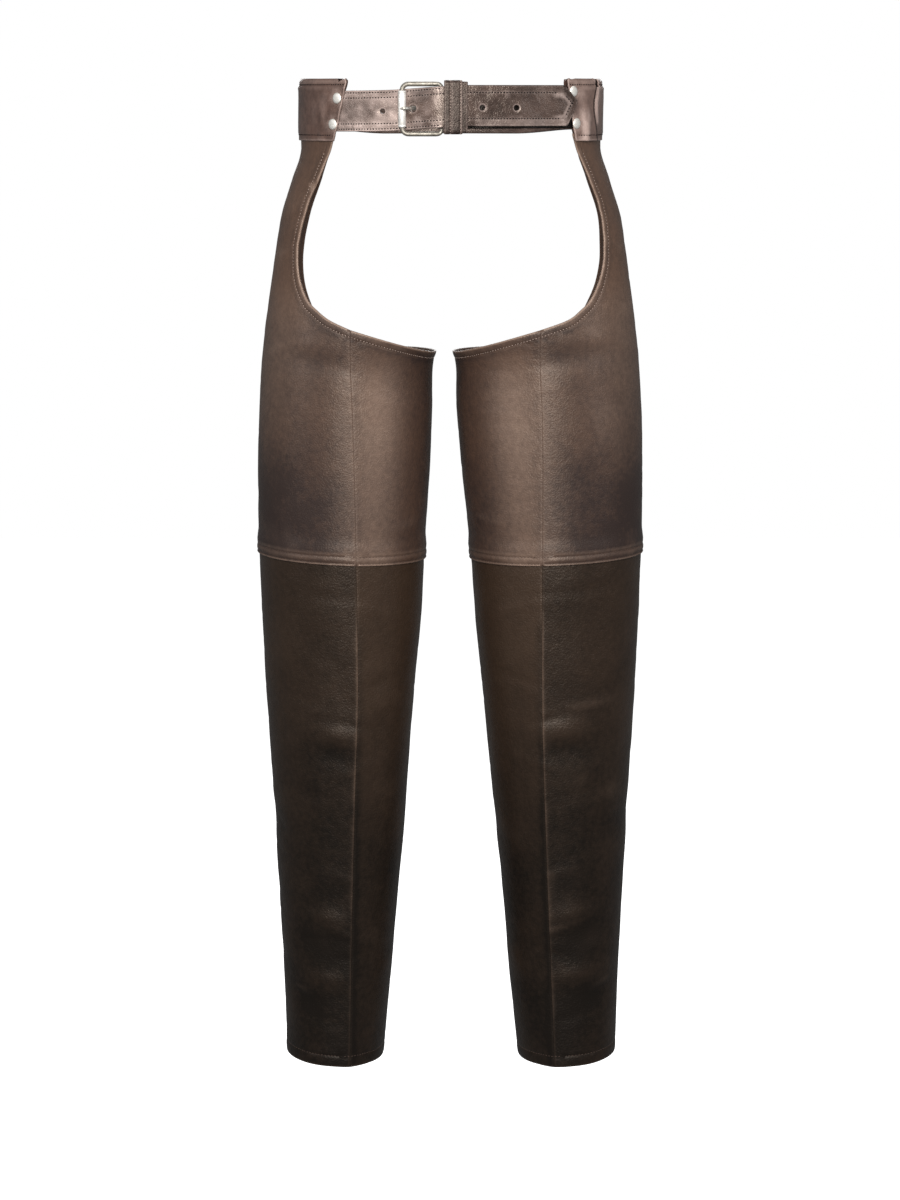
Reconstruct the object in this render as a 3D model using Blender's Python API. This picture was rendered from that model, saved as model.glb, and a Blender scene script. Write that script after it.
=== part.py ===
"""Leather chaps with their buckled waist belt, in the hollow form that they have when worn.

Metres, +Z up. The wearer stands at the origin and faces -Y, so the viewer in front has +X on the right.
The origin is the middle of the waist, 10 mm above the middle of the belt. Side -1 is the leg at -X, side +1
the leg at +X. Each leg is a tube of four panels round a leg surface, which comes from the levels below.
"""

import math

import bpy
import numpy as np
from mathutils import Matrix, Vector

# Leather and fit
WALL = 0.0014  # one layer of chap leather
GAP = 0.0003  # air left between neighbouring pieces
LAP_RISE = WALL + GAP  # how far the upper leg stands out where it laps the lower leg

# Heights
HIP_TOP = -0.0335  # top end of the hip strap, hidden between the layers of the waist tab
OPENING_FRONT = -0.2315  # top of the leg at the front seam
OPENING_INNER = -0.2595  # top of the leg at the inner side
OPENING_BACK = -0.2620  # top of the leg at the back seam
LAP_TOP = -0.4600  # top edge of the lower leg, under the lap
LAP_BOTTOM = -0.4715  # lower edge of the upper leg
LAP_INNER_DROP = 0.0070  # how much lower both edges are on the inner side than on the outer side
HEM = -1.0238
HEM_INNER_DROP = 0.0046  # how much lower the hem is on the inner side than on the outer side
HEM_TURN = 0.0145  # depth of the turned hem

# The leg surface at each level. Distances from the middle of the body: outer and inner side of each leg (the
# inner below zero past the middle, where the section is still that of the trunk) and front seam of each leg.
# Front and back are half depths, middle is the y of the section's centre, ridge is the rise of the seam.
LEVEL_COLUMNS = ("z", "outer_l", "outer_r", "inner_l", "inner_r", "seam_l", "seam_r", "front", "back",
                 "middle", "ridge")
LEVELS = (
    (-0.020, 0.15465, 0.15615, -0.15465, -0.15615, 0.1020, 0.0930, 0.11385, 0.11385, 0.000, 0.0000),
    (-0.046, 0.15465, 0.15615, -0.15465, -0.15615, 0.1020, 0.0930, 0.11385, 0.11385, 0.000, 0.0000),
    (-0.080, 0.1640, 0.1655, -0.1300, -0.1300, 0.1020, 0.0930, 0.1090, 0.1100, 0.000, 0.0000),
    (-0.120, 0.1762, 0.1780, -0.1020, -0.1040, 0.1020, 0.0930, 0.1030, 0.1060, 0.001, 0.0000),
    (-0.165, 0.1830, 0.1845, -0.0620, -0.0680, 0.1020, 0.0930, 0.0980, 0.1030, 0.002, 0.0000),
    (-0.210, 0.1902, 0.1915, -0.0170, -0.0270, 0.1020, 0.0930, 0.0930, 0.0990, 0.003, 0.0004),
    (-0.262, 0.1968, 0.1980, 0.0153, 0.0035, 0.1020, 0.0920, 0.0900, 0.0950, 0.003, 0.0008),
    (-0.320, 0.2008, 0.2014, 0.0183, 0.0065, 0.1000, 0.0945, 0.0890, 0.0910, 0.002, 0.0010),
    (-0.400, 0.2030, 0.2032, 0.0220, 0.0138, 0.0980, 0.0955, 0.0875, 0.0860, 0.000, 0.0010),
    (-0.482, 0.2018, 0.2024, 0.0276, 0.0225, 0.0970, 0.0955, 0.0850, 0.0820, -0.001, 0.0010),
    (-0.540, 0.2000, 0.2008, 0.0306, 0.0265, 0.0965, 0.0960, 0.0810, 0.0800, 0.000, 0.0020),
    (-0.620, 0.1966, 0.1970, 0.0377, 0.0347, 0.0970, 0.0970, 0.0765, 0.0810, 0.003, 0.0036),
    (-0.700, 0.1924, 0.1932, 0.0440, 0.0425, 0.1000, 0.0995, 0.0730, 0.0790, 0.007, 0.0040),
    (-0.790, 0.1877, 0.1893, 0.0510, 0.0518, 0.1030, 0.1030, 0.0690, 0.0730, 0.011, 0.0040),
    (-0.880, 0.1832, 0.1852, 0.0592, 0.0600, 0.1055, 0.1070, 0.0655, 0.0660, 0.014, 0.0036),
    (-0.950, 0.1804, 0.1826, 0.0655, 0.0662, 0.1070, 0.1100, 0.0640, 0.0620, 0.016, 0.0030),
    (-1.030, 0.1783, 0.1806, 0.0728, 0.0738, 0.1085, 0.1130, 0.0640, 0.0600, 0.017, 0.0026),
)
BACK_SEAM = 270.0  # angle of the back seam
RIDGE_SPREAD = 24.0  # degrees on each side over which the seam ridge dies away
BACK_RIDGE = 0.5  # height of the ridge on the back seam, against the front one

# The edge of the outer panel from the waist tab down to the seams. Each row is one rib across the panel: the
# height of its front and back end, and how far from the middle of the body each end lies, on each leg.
OPENING_COLUMNS = ("z_front", "z_back", "front_l", "front_r", "back_l", "back_r")
OPENING = (
    (HIP_TOP, HIP_TOP, 0.1160, 0.1240, 0.1275, 0.1330),
    (-0.044, -0.044, 0.1195, 0.1272, 0.1283, 0.1340),
    (-0.061, -0.064, 0.1260, 0.1340, 0.1314, 0.1388),
    (-0.080, -0.084, 0.1340, 0.1425, 0.1376, 0.1460),
    (-0.101, -0.105, 0.1435, 0.1510, 0.1452, 0.1536),
    (-0.121, -0.126, 0.1500, 0.1560, 0.1512, 0.1587),
    (-0.142, -0.148, 0.1550, 0.1580, 0.1558, 0.1602),
    (-0.162, -0.169, 0.1565, 0.1580, 0.1578, 0.1602),
    (-0.182, -0.192, 0.1542, 0.1535, 0.1564, 0.1562),
    (-0.202, -0.215, 0.1462, 0.1438, 0.1500, 0.1472),
    (-0.2115, -0.231, 0.1370, 0.1345, 0.1420, 0.1390),
    (-0.2215, -0.247, 0.1238, 0.1210, 0.1270, 0.1220),
)

# Soft creases of the legs: height and angle of the middle, half length in degrees, half height, rise
# (below zero for a trough) and slant, as the drop for each degree towards the inner side
CREASES = (
    (-0.262, 72.0, 22.0, 0.012, -0.0020, 0.00010),
    (-0.245, 60.0, 20.0, 0.010, 0.0012, 0.00010),
    (-0.505, 262.0, 34.0, 0.014, -0.0022, 0.00006),
    (-0.535, 285.0, 34.0, 0.013, 0.0018, -0.00008),
    (-0.570, 255.0, 30.0, 0.014, -0.0020, 0.00008),
    (-0.655, 88.0, 17.0, 0.013, 0.0022, 0.00008),
    (-0.676, 86.0, 17.0, 0.012, -0.0012, 0.00008),
    (-0.760, 20.0, 30.0, 0.018, -0.0016, 0.00012),
    (-0.790, 225.0, 34.0, 0.018, 0.0016, -0.00010),
    (-0.858, 84.0, 18.0, 0.012, 0.0022, 0.00030),
    (-0.882, 62.0, 20.0, 0.014, -0.0018, 0.00020),
    (-0.905, 280.0, 36.0, 0.014, 0.0018, 0.00010),
    (-0.926, 78.0, 26.0, 0.012, 0.0022, 0.00005),
    (-0.952, 55.0, 18.0, 0.016, -0.0020, 0.00030),
    (-0.918, 150.0, 22.0, 0.014, 0.0014, -0.00030),
    (-0.960, 250.0, 34.0, 0.014, -0.0016, -0.00010),
)

# Mesh steps of the leg panels
OUTER_STEPS = 14
INNER_STEPS = 9
THIGH_FRONT_LEVELS = (OPENING_FRONT, -0.252, -0.278, -0.310, -0.342, -0.374, -0.404, -0.428, -0.447)
LAP_LEVELS = (-0.4575, -0.4595, LAP_BOTTOM)
LOWER_LEVELS = (LAP_TOP, LAP_BOTTOM, -0.505, -0.535, -0.567, -0.600, -0.632, -0.656, -0.680, -0.712,
                -0.750, -0.788, -0.820, -0.846, -0.870, -0.894, -0.918, -0.942, -0.966, -0.988)

# Waist: the line that the back layer of the tabs lies on, seen from above
WAIST_LEFT, WAIST_RIGHT = 0.1508, 0.1523  # half widths to -X and to +X
WAIST_HALF_DEPTH = 0.1100

# Belt
TIP_WIDTH = 0.0408
BELT_LIFT = 0.0017  # inner face of the belt from the waist line, clear of the back layer of a tab
FACE_PLY = 0.0016  # outer ply of the tip strap
LINING_PLY = 0.0011
SINGLE_STRAP, SINGLE_WIDTH, SINGLE_MIDDLE = 0.0020, 0.0380, -0.0093  # the buckle strap
BACK_STRAP, BACK_WIDTH, BACK_MIDDLE, BACK_DROP = 0.0030, 0.0400, -0.0108, 0.0047

# Buckle, by arc length from the middle of the front and by lift from the waist line
BUCKLE_MIDDLE = -0.0089  # height of its middle
BUCKLE_HEIGHT = 0.0494  # between the middles of its two long bars
BAR_RADIUS = 0.0024
HINGE_RADIUS = 0.0020
HINGE_ARC, HINGE_LIFT = -0.0082, 0.0046
ROLLER_ARC, ROLLER_LIFT = -0.0463, 0.0090
ROLLER_RADIUS, ROLLER_BORE, ROLLER_LENGTH = 0.0040, 0.0028, 0.0364
ROLLER_CORNER, HINGE_CORNER = 0.0062, 0.0040
PRONG_WIDTH, PRONG_DEPTH, PRONG_MIDDLE = 0.0040, 0.0022, -0.0083
# Round holes in the tip strap: arc length, height, radius. The prong is in the second one.
HOLES = (
    (-0.0676, -0.0111, 0.0025),
    (-0.0364, -0.0083, 0.0034),
    (0.0311, -0.0074, 0.0025),
    (0.0650, -0.0077, 0.0025),
)

# Keeper: a band round the belt beside the hinge, its upper ply narrower
KEEPER_START, KEEPER_END, KEEPER_PLY_END = -0.0055, 0.0167, 0.0116
KEEPER_TOP, KEEPER_BOTTOM = 0.0171, -0.0314  # inside
KEEPER_PLY = 0.0011
KEEPER_FRONT_START, KEEPER_FRONT_END = 0.0133, 0.0118  # inside, lift of its front at each edge
KEEPER_BACK = 0.0000

# Tip strap: inner face by arc length. It dips under the roller, climbs over the hinge and lies on the tab.
TIP_LIFTS = (
    (-0.150, BELT_LIFT), (-0.060, BELT_LIFT), (-0.0435, 0.0018), (-0.0370, 0.0026), (-0.0290, 0.0052),
    (-0.0185, 0.0084), (-0.0085, 0.0093), (0.000, 0.0092), (0.016, 0.0073), (0.034, 0.0053),
    (0.070, 0.0048), (0.096, 0.0052), (0.108, 0.0074), (0.117, 0.0090), (0.140, 0.0092),
)
# Height of the tip strap's middle by arc length: past the buckle it rides a little higher
TIP_MIDDLES = ((-0.150, -0.0112), (-0.100, -0.0110), (-0.058, -0.0102), (-0.036, -0.0088), (-0.012, -0.0071),
               (0.016, -0.0056), (0.140, -0.0056))
TIP_STRAP_START = -0.1500
TIP_TOP_CORNER, TIP_POINT, TIP_BOTTOM_CORNER, POINT_RISE = 0.1150, 0.1310, 0.1180, 0.0042

# Waist tabs: the path of the leather over the belt, as lift and height of its middle, from the front layer's
# lower edge over the rolled top to the back layer's lower edge
TAB_PATH = (
    (0.0050, -0.0412), (0.0050, -0.0374), (0.0057, -0.0326), (0.0057, -0.0170), (0.0057, -0.0020),
    (0.0057, 0.0112), (0.0046, 0.0156), (0.0043, 0.0188), (0.0036, 0.0208), (0.0025, 0.0216),
    (0.0014, 0.0208), (0.0008, 0.0184), (0.0007, 0.0120), (0.0007, -0.0090), (0.0007, -0.0326),
    (0.0013, -0.0374), (0.0013, -0.0408),
)
TAB_FOLD_FIRST, TAB_FOLD_LAST = 7, 11  # the rows of the path that make the rolled top
TAB_STEP, PATCH_STEP = 5.0, 2.6  # degrees between mesh columns
# Front edges of the tabs as angles from the front of the waist, for the front layer and for the back layer,
# which stands back further down: height, then the angle on each tab
TAB_FRONT_EDGE = (
    (-0.0412, 49.2, 54.4), (-0.0250, 46.8, 52.6), (-0.0030, 44.4, 50.8), (0.0140, 42.6, 49.6),
    (0.0195, 42.5, 49.5), (0.0223, 43.9, 50.8),
)
TAB_INNER_EDGE = (
    (-0.0412, 52.9, 58.2), (-0.0250, 50.0, 56.0), (-0.0030, 46.6, 52.8), (0.0140, 43.2, 50.4),
    (0.0195, 42.7, 49.8), (0.0223, 43.9, 50.8),
)
PATCH_BACK_EDGE = ((-0.0412, 73.6), (-0.0320, 71.4), (-0.0060, 67.6), (0.0120, 69.8), (0.0223, 71.6))
PATCH_INNER_BACK = 71.0  # back edge of its back layer
TAB_BACK_EDGE = (
    (-0.0412, 125.5, 121.0), (-0.0250, 128.5, 123.6), (-0.0030, 131.2, 126.0), (0.0140, 133.2, 128.0),
    (0.0223, 133.6, 128.4),
)
SIDE_PIECE_FRONT, SIDE_PIECE_TOP_FRONT = 65.5, 75.0  # under the patch, and above z SIDE_PIECE_STEP
SIDE_PIECE_STEP = 0.0130
PATCH_RISE_FROM, PATCH_RISE_TO = 57.8, 62.8  # degrees over which the patch climbs onto the side piece

# Rivets: angle from the front, height
RIVET_RADIUS, RIVET_HEIGHT, RIVET_RIM = 0.0053, 0.0019, 0.0006
RIVETS = {
    "front_left_upper": (-46.9, 0.0018), "front_left_lower": (-49.4, -0.0242),
    "front_right_upper": (52.3, 0.0085), "front_right_lower": (54.4, -0.0235),
    "back_left_upper": (-128.2, -0.0015), "back_left_lower": (-125.4, -0.0260),
    "back_right_upper": (123.4, -0.0015), "back_right_lower": (120.8, -0.0260),
}

LEATHER = (0.060, 0.038, 0.032)
DARK_LEATHER = (0.036, 0.026, 0.024)
BELT_LEATHER = (0.150, 0.105, 0.092)
NICKEL = (0.62, 0.60, 0.56)


def clear_scene():
    for old in list(bpy.data.objects):
        bpy.data.objects.remove(old, do_unlink=True)


def finish_of(name, colour, roughness, metallic):
    made = bpy.data.materials.new(name)
    made.use_nodes = True
    shader = made.node_tree.nodes["Principled BSDF"]
    shader.inputs["Base Color"].default_value = (*colour, 1.0)
    shader.inputs["Roughness"].default_value = roughness
    shader.inputs["Metallic"].default_value = metallic
    made.diffuse_color = (*colour, 1.0)
    return made


def signed_volume(points, faces):
    total = 0.0
    for face in faces:
        for second, third in zip(face[1:-1], face[2:]):
            total += points[face[0]].dot(points[second].cross(points[third]))
    return total / 6.0


def add_piece(name, points, faces, colour, roughness=0.5, metallic=0.0):
    """One closed mesh object, its faces turned outwards."""
    points = [Vector(point) for point in points]
    if signed_volume(points, faces) < 0:
        faces = [face[::-1] for face in faces]
    mesh = bpy.data.meshes.new(name)
    mesh.from_pydata([tuple(point) for point in points], [], faces)
    mesh.shade_smooth()
    mesh.set_sharp_from_angle(angle=math.radians(40))
    piece = bpy.data.objects.new(name, mesh)
    bpy.context.scene.collection.objects.link(piece)
    mesh.materials.append(finish_of(name + "_finish", colour, roughness, metallic))
    return piece


def leather(name, points, faces, colour=LEATHER):
    return add_piece(name, points, faces, colour, 0.5)


def metal(name, points, faces):
    return add_piece(name, points, faces, NICKEL, 0.3, 1.0)


def wall_mesh(outside, inside):
    """Points and faces of a closed wall between two equal grids of points."""
    rows, columns = len(outside), len(outside[0])
    points = [point for grid in (outside, inside) for row in grid for point in row]

    def at(layer, row, column):
        return (layer * rows + row) * columns + column

    faces = []
    for row in range(rows - 1):
        for column in range(columns - 1):
            square = ((row, column), (row, column + 1), (row + 1, column + 1), (row + 1, column))
            faces.append([at(0, *corner) for corner in square])
            faces.append([at(1, *corner) for corner in reversed(square)])
    border = [(0, c) for c in range(columns)] + [(r, columns - 1) for r in range(1, rows)]
    border += [(rows - 1, c) for c in range(columns - 2, -1, -1)] + [(r, 0) for r in range(rows - 2, 0, -1)]
    for here, there in zip(border, border[1:] + border[:1]):
        faces.append([at(0, *there), at(0, *here), at(1, *here), at(1, *there)])
    return points, faces


def tube_mesh(rings, closed):
    """Points and faces of rings of equal count, joined in order. An open run is capped at both ends."""
    count = len(rings[0])
    points = [point for ring in rings for point in ring]
    faces = []
    for row in range(len(rings) if closed else len(rings) - 1):
        following = (row + 1) % len(rings)
        for column in range(count):
            beside = (column + 1) % count
            faces.append([row * count + column, row * count + beside,
                          following * count + beside, following * count + column])
    if not closed:
        faces.append([column for column in reversed(range(count))])
        faces.append([(len(rings) - 1) * count + column for column in range(count)])
    return points, faces


def smooth_step(value):
    value = min(1.0, max(0.0, value))
    return value * value * (3.0 - 2.0 * value)


def along_curve(xs, ys, x):
    """The value at x of a smooth curve through the points, which never overshoots them."""
    xs, ys = np.asarray(xs, float), np.asarray(ys, float)
    if xs[0] > xs[-1]:
        xs, ys = xs[::-1], ys[::-1]
    x = min(max(x, xs[0]), xs[-1])
    slopes = np.diff(ys) / np.diff(xs)
    tangents = np.concatenate([[slopes[0]], (slopes[:-1] + slopes[1:]) / 2.0, [slopes[-1]]])
    tangents[1:-1][slopes[:-1] * slopes[1:] <= 0.0] = 0.0
    row = min(max(int(np.searchsorted(xs, x)) - 1, 0), len(xs) - 2)
    step = xs[row + 1] - xs[row]
    t = (x - xs[row]) / step
    return float((2 * t**3 - 3 * t**2 + 1) * ys[row] + (t**3 - 2 * t**2 + t) * step * tangents[row]
                 + (3 * t**2 - 2 * t**3) * ys[row + 1] + (t**3 - t**2) * step * tangents[row + 1])


def table_value(table, column, x):
    """One column of a table at x, where the first column holds the x of each row."""
    return along_curve([row[0] for row in table], [row[column] for row in table], x)


def level_value(column, z):
    return table_value(LEVELS, LEVEL_COLUMNS.index(column), z)


def side_letter(side):
    return "l" if side < 0 else "r"


def section(side, z):
    """Centre x, half width, front and back half depth, centre y and ridge height of one leg's section."""
    outer, inner = (level_value(edge + side_letter(side), z) for edge in ("outer_", "inner_"))
    return ((outer + inner) / 2, (outer - inner) / 2, level_value("front", z), level_value("back", z),
            level_value("middle", z), level_value("ridge", z))


def angle_at(side, z, distance):
    """Angle on the front of the section at a distance from the middle of the body: 0 outer side, 90 front."""
    centre, half_width = section(side, z)[:2]
    return math.degrees(math.acos(min(1.0, max(-1.0, (distance - centre) / half_width))))


def seam_angle(side, z):
    return angle_at(side, z, level_value("seam_" + side_letter(side), z))


def ridge_share(angle, seam):
    away = abs((angle - seam + 180.0) % 360.0 - 180.0) / RIDGE_SPREAD
    return max(0.0, 1.0 - away) ** 1.6


def crease_rise(side, z, angle):
    """Height of the soft creases. Both legs have them, a little lower and shorter on the leg at -X."""
    total = 0.0
    for z_mid, angle_mid, half_length, half_height, rise, slant in CREASES:
        turn = (angle - angle_mid + 180.0) % 360.0 - 180.0
        across = (z - z_mid - 0.003 * side + slant * turn) / half_height
        along = turn / (half_length * (1.0 + 0.08 * side))
        total += rise * math.exp(-across * across - along * along)
    return total


def leg_point(side, z, angle, lift=0.0):
    centre, half_width, front, back, middle, ridge = section(side, z)
    turn = math.radians(angle)
    depth = front if math.sin(turn) >= 0 else back
    outward = Vector((math.cos(turn) / half_width, -math.sin(turn) / depth, 0.0)).normalized()
    relief = ridge * (ridge_share(angle, seam_angle(side, z)) + BACK_RIDGE * ridge_share(angle, BACK_SEAM))
    flat = Vector((centre + half_width * math.cos(turn), middle - depth * math.sin(turn), z))
    placed = flat + outward * (lift + relief + crease_rise(side, z, angle))
    return Vector((side * placed.x, placed.y, placed.z))


def seam_margin(side, z, angle):
    """Degrees that leave half a gap on the surface."""
    centre, half_width, front, back = section(side, z)[:4]
    turn = math.radians(angle)
    depth = front if math.sin(turn) >= 0 else back
    return math.degrees(GAP / 2 / math.hypot(half_width * math.sin(turn), depth * math.cos(turn)))


def inner_share(angle):
    """0 on the outer side of a leg, 1 on its inner side."""
    return (1 - math.cos(math.radians(angle))) / 2


def lap_drop(angle):
    """The cross seam falls a little towards the inner side."""
    return LAP_INNER_DROP * inner_share(angle)


def upper_lift(z, angle):
    """The upper leg stands out where it laps the lower leg."""
    return LAP_RISE * smooth_step((LAP_LEVELS[0] + 0.014 - z - lap_drop(angle)) / 0.014)


def no_lift(z, angle):
    return 0.0


def leg_wall(side, ribs, lift_of, walls):
    """A wall through ribs, each a list of (z, angle), with the wall's thickness at each rib."""
    outside = [[leg_point(side, z, angle, lift_of(z, angle)) for z, angle in rib] for rib in ribs]
    inside = [[leg_point(side, z, angle, lift_of(z, angle) - wall) for z, angle in rib]
              for rib, wall in zip(ribs, walls)]
    return wall_mesh(outside, inside)


def rib_between(z_front, front_angle, z_back, back_angle, steps):
    shares = [step / steps for step in range(steps + 1)]
    return [(z_front + (z_back - z_front) * s, front_angle + (back_angle - front_angle) * s) for s in shares]


def outer_front_angle(side, z):
    seam = seam_angle(side, z)
    return seam - seam_margin(side, z, seam)


def outer_back_angle(side, z):
    return BACK_SEAM - 360.0 + seam_margin(side, z, BACK_SEAM)


def upper_outer_ribs(side):
    """From the top of the hip strap, down both edges of the opening, then seam to seam down to the lap."""
    front_column = OPENING_COLUMNS.index("front_" + side_letter(side))
    back_column = OPENING_COLUMNS.index("back_" + side_letter(side))
    ribs = []
    for row in OPENING:
        z_front, z_back = row[0], row[1]
        front_angle = angle_at(side, z_front, row[front_column])
        back_angle = -angle_at(side, z_back, row[back_column])
        ribs.append(rib_between(z_front, front_angle, z_back, back_angle, OUTER_STEPS))
    last = THIGH_FRONT_LEVELS[-1]
    for z_front in THIGH_FRONT_LEVELS:
        share = (z_front - last) / (OPENING_FRONT - last)
        z_back = last + (OPENING_BACK - last) * share
        ribs.append(rib_between(z_front, outer_front_angle(side, z_front),
                                z_back, outer_back_angle(side, z_back), OUTER_STEPS))
    for z in LAP_LEVELS:
        level = rib_between(z, outer_front_angle(side, z), z, outer_back_angle(side, z), OUTER_STEPS)
        ribs.append([(z - lap_drop(angle), angle) for z, angle in level])
    return ribs


def opening_height(angle, seam):
    """Top edge of the inner panel: it falls from the front seam to the inner side, then runs level."""
    if angle <= 180.0:
        share = math.sin(math.radians(90.0) * max(0.0, (angle - seam) / (180.0 - seam)))
        return OPENING_FRONT + (OPENING_INNER - OPENING_FRONT) * share
    return OPENING_INNER + (OPENING_BACK - OPENING_INNER) * (angle - 180.0) / 90.0


def inner_angles(side, z):
    seam = seam_angle(side, z)
    first = seam + seam_margin(side, z, seam)
    last = BACK_SEAM - seam_margin(side, z, BACK_SEAM)
    return [first + (last - first) * step / INNER_STEPS for step in range(INNER_STEPS + 1)]


def upper_inner_ribs(side):
    top_seam = seam_angle(side, OPENING_FRONT)
    last = THIGH_FRONT_LEVELS[-1]
    ribs = []
    for z_front in THIGH_FRONT_LEVELS:
        share = (z_front - last) / (OPENING_FRONT - last)
        rib = []
        for top_angle in inner_angles(side, OPENING_FRONT):
            z = last + (opening_height(top_angle, top_seam) - last) * share
            column = len(rib)
            rib.append((z, inner_angles(side, z)[column]))
        ribs.append(rib)
    return ribs + [[(z - lap_drop(angle), angle) for angle in inner_angles(side, z)] for z in LAP_LEVELS]


def lower_drop(z, angle):
    """The hem falls a little towards the inner side, and the rows above it follow less and less. The two rows
    under the lap follow the cross seam."""
    if z >= LAP_BOTTOM:
        return lap_drop(angle)
    return HEM_INNER_DROP * inner_share(angle) * smooth_step((LOWER_LEVELS[-4] - z) / 0.09)


def lower_outer_ribs(side, levels):
    ribs = [rib_between(z, outer_front_angle(side, z), z, outer_back_angle(side, z), OUTER_STEPS)
            for z in levels]
    return [[(z - lower_drop(z, angle), angle) for z, angle in rib] for rib in ribs]


def lower_inner_ribs(side, levels):
    return [[(z - lower_drop(z, angle), angle) for angle in inner_angles(side, z)] for z in levels]


def build_leg(side):
    """Upper panels of one layer, and lower ones whose turned hem doubles the wall."""
    label = "left" if side < 0 else "right"
    for part, ribs in (("outer", upper_outer_ribs(side)), ("inner", upper_inner_ribs(side))):
        leather(f"upper_leg_{part}_{label}", *leg_wall(side, ribs, upper_lift, [WALL] * len(ribs)))
    hem_top = HEM + HEM_TURN
    levels = LOWER_LEVELS + (hem_top, hem_top - GAP, HEM)
    walls = [WALL] * (len(levels) - 2) + [2 * WALL] * 2
    for part, ribs in (("outer", lower_outer_ribs(side, levels)), ("inner", lower_inner_ribs(side, levels))):
        leather(f"lower_leg_{part}_{label}", *leg_wall(side, ribs, no_lift, walls), DARK_LEATHER)


def waist_point(angle, lift, z):
    """A point at an angle from the front of the waist, towards +X, and a lift from the waist line."""
    turn = math.radians(angle)
    half_width = WAIST_RIGHT if math.sin(turn) > 0 else WAIST_LEFT
    x, y = half_width * math.sin(turn), -WAIST_HALF_DEPTH * math.cos(turn)
    outward = Vector((math.sin(turn) / half_width, -math.cos(turn) / WAIST_HALF_DEPTH, 0.0)).normalized()
    return Vector((x, y, z)) + outward * lift


ARC_ANGLES = np.linspace(0.0, 180.0, 721)
ARC_STEPS = np.hypot(WAIST_LEFT * np.cos(np.radians(ARC_ANGLES)),
                     WAIST_HALF_DEPTH * np.sin(np.radians(ARC_ANGLES)))
ARC_LENGTHS = np.concatenate([[0.0], np.cumsum((ARC_STEPS[1:] + ARC_STEPS[:-1]) / 2 * math.radians(0.25))])


def angle_of_arc(arc):
    return math.copysign(float(np.interp(abs(arc), ARC_LENGTHS, ARC_ANGLES)), arc)


def belt_point(arc, lift, z):
    return waist_point(angle_of_arc(arc), lift, z)


def strap_mesh(path, thickness, ends):
    """A strap on edge: path is its middle line seen from above, ends the lower and upper z at each point."""
    rings = []
    for i, point in enumerate(path):
        before, after = path[max(0, i - 1)], path[min(len(path) - 1, i + 1)]
        run = (after - before).normalized()
        across = Vector((run.y, -run.x, 0.0)) * thickness / 2
        low, high = ends[i]
        inner, outer = point - across, point + across
        rings.append([Vector((p.x, p.y, z))
                      for p, z in ((inner, low), (inner, high), (outer, high), (outer, low))])
    return tube_mesh(rings, closed=False)


def tip_lift(arc):
    return table_value(TIP_LIFTS, 1, arc)


def tip_ends(arc, past):
    """Lower and upper edge of the tip strap, which is cut to a point. past lengthens it."""
    half, blunt = TIP_WIDTH / 2, 0.0015
    middle = table_value(TIP_MIDDLES, 1, arc)
    top, point, bottom = (at + past for at in (TIP_TOP_CORNER, TIP_POINT, TIP_BOTTOM_CORNER))
    high = half if arc < top else half + (POINT_RISE + blunt - half) * (arc - top) / (point - top)
    low = half if arc < bottom else half + (blunt - POINT_RISE - half) * (arc - bottom) / (point - bottom)
    return middle - low, middle + high


def punch():
    """One cutter with a round peg through the strap at each hole."""
    sides = 16
    points, faces = [], []
    for arc, z, radius in HOLES:
        outward = (belt_point(arc, 1.0, 0.0) - belt_point(arc, 0.0, 0.0)).normalized()
        beside = Vector((-outward.y, outward.x, 0.0))
        peg = []
        for lift in (tip_lift(arc) - 0.004, tip_lift(arc) + FACE_PLY + LINING_PLY + 0.005):
            centre = belt_point(arc, lift, z)
            peg.append([centre + (beside * math.cos(2 * math.pi * k / sides)
                                  + Vector((0, 0, math.sin(2 * math.pi * k / sides)))) * radius
                        for k in range(sides)])
        peg_points, peg_faces = tube_mesh(peg, closed=False)
        if signed_volume(peg_points, peg_faces) < 0:
            peg_faces = [face[::-1] for face in peg_faces]
        faces += [[index + len(points) for index in face] for face in peg_faces]
        points += peg_points
    mesh = bpy.data.meshes.new("hole_punch")
    mesh.from_pydata([tuple(point) for point in points], [], faces)
    cutter = bpy.data.objects.new("hole_punch", mesh)
    bpy.context.scene.collection.objects.link(cutter)
    return as_cutter(cutter)


def as_cutter(cutter):
    cutter.hide_render = True
    cutter.display_type = "WIRE"
    return cutter


def cut(piece, cutter):
    boolean = piece.modifiers.new("cut", "BOOLEAN")
    boolean.operation = "DIFFERENCE"
    boolean.object = cutter


def build_tip_strap():
    """Two plies: a face and a lining, which shows a little beyond the point."""
    cutter = punch()
    plies = (("tip_strap_lining", 0.0, LINING_PLY, 0.0010),
             ("tip_strap_face", LINING_PLY + GAP, FACE_PLY, 0.0))
    for name, base, thickness, past in plies:
        point = TIP_POINT + past
        arcs = list(np.arange(TIP_STRAP_START, TIP_TOP_CORNER - 0.004, 0.0065))
        arcs += [at + past for at in (TIP_TOP_CORNER, TIP_BOTTOM_CORNER, 0.1265)] + [point]
        path = [belt_point(arc, tip_lift(arc) + base + thickness / 2, 0.0) for arc in arcs]
        ends = [tip_ends(arc, past) for arc in arcs]
        strap = leather(name, *strap_mesh(path, thickness, ends), BELT_LEATHER)
        cut(strap, cutter)


def wrap_radius():
    """From the middle of the hinge bar to the middle of the strap that is folded round it."""
    return HINGE_RADIUS + GAP + SINGLE_STRAP / 2


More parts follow.
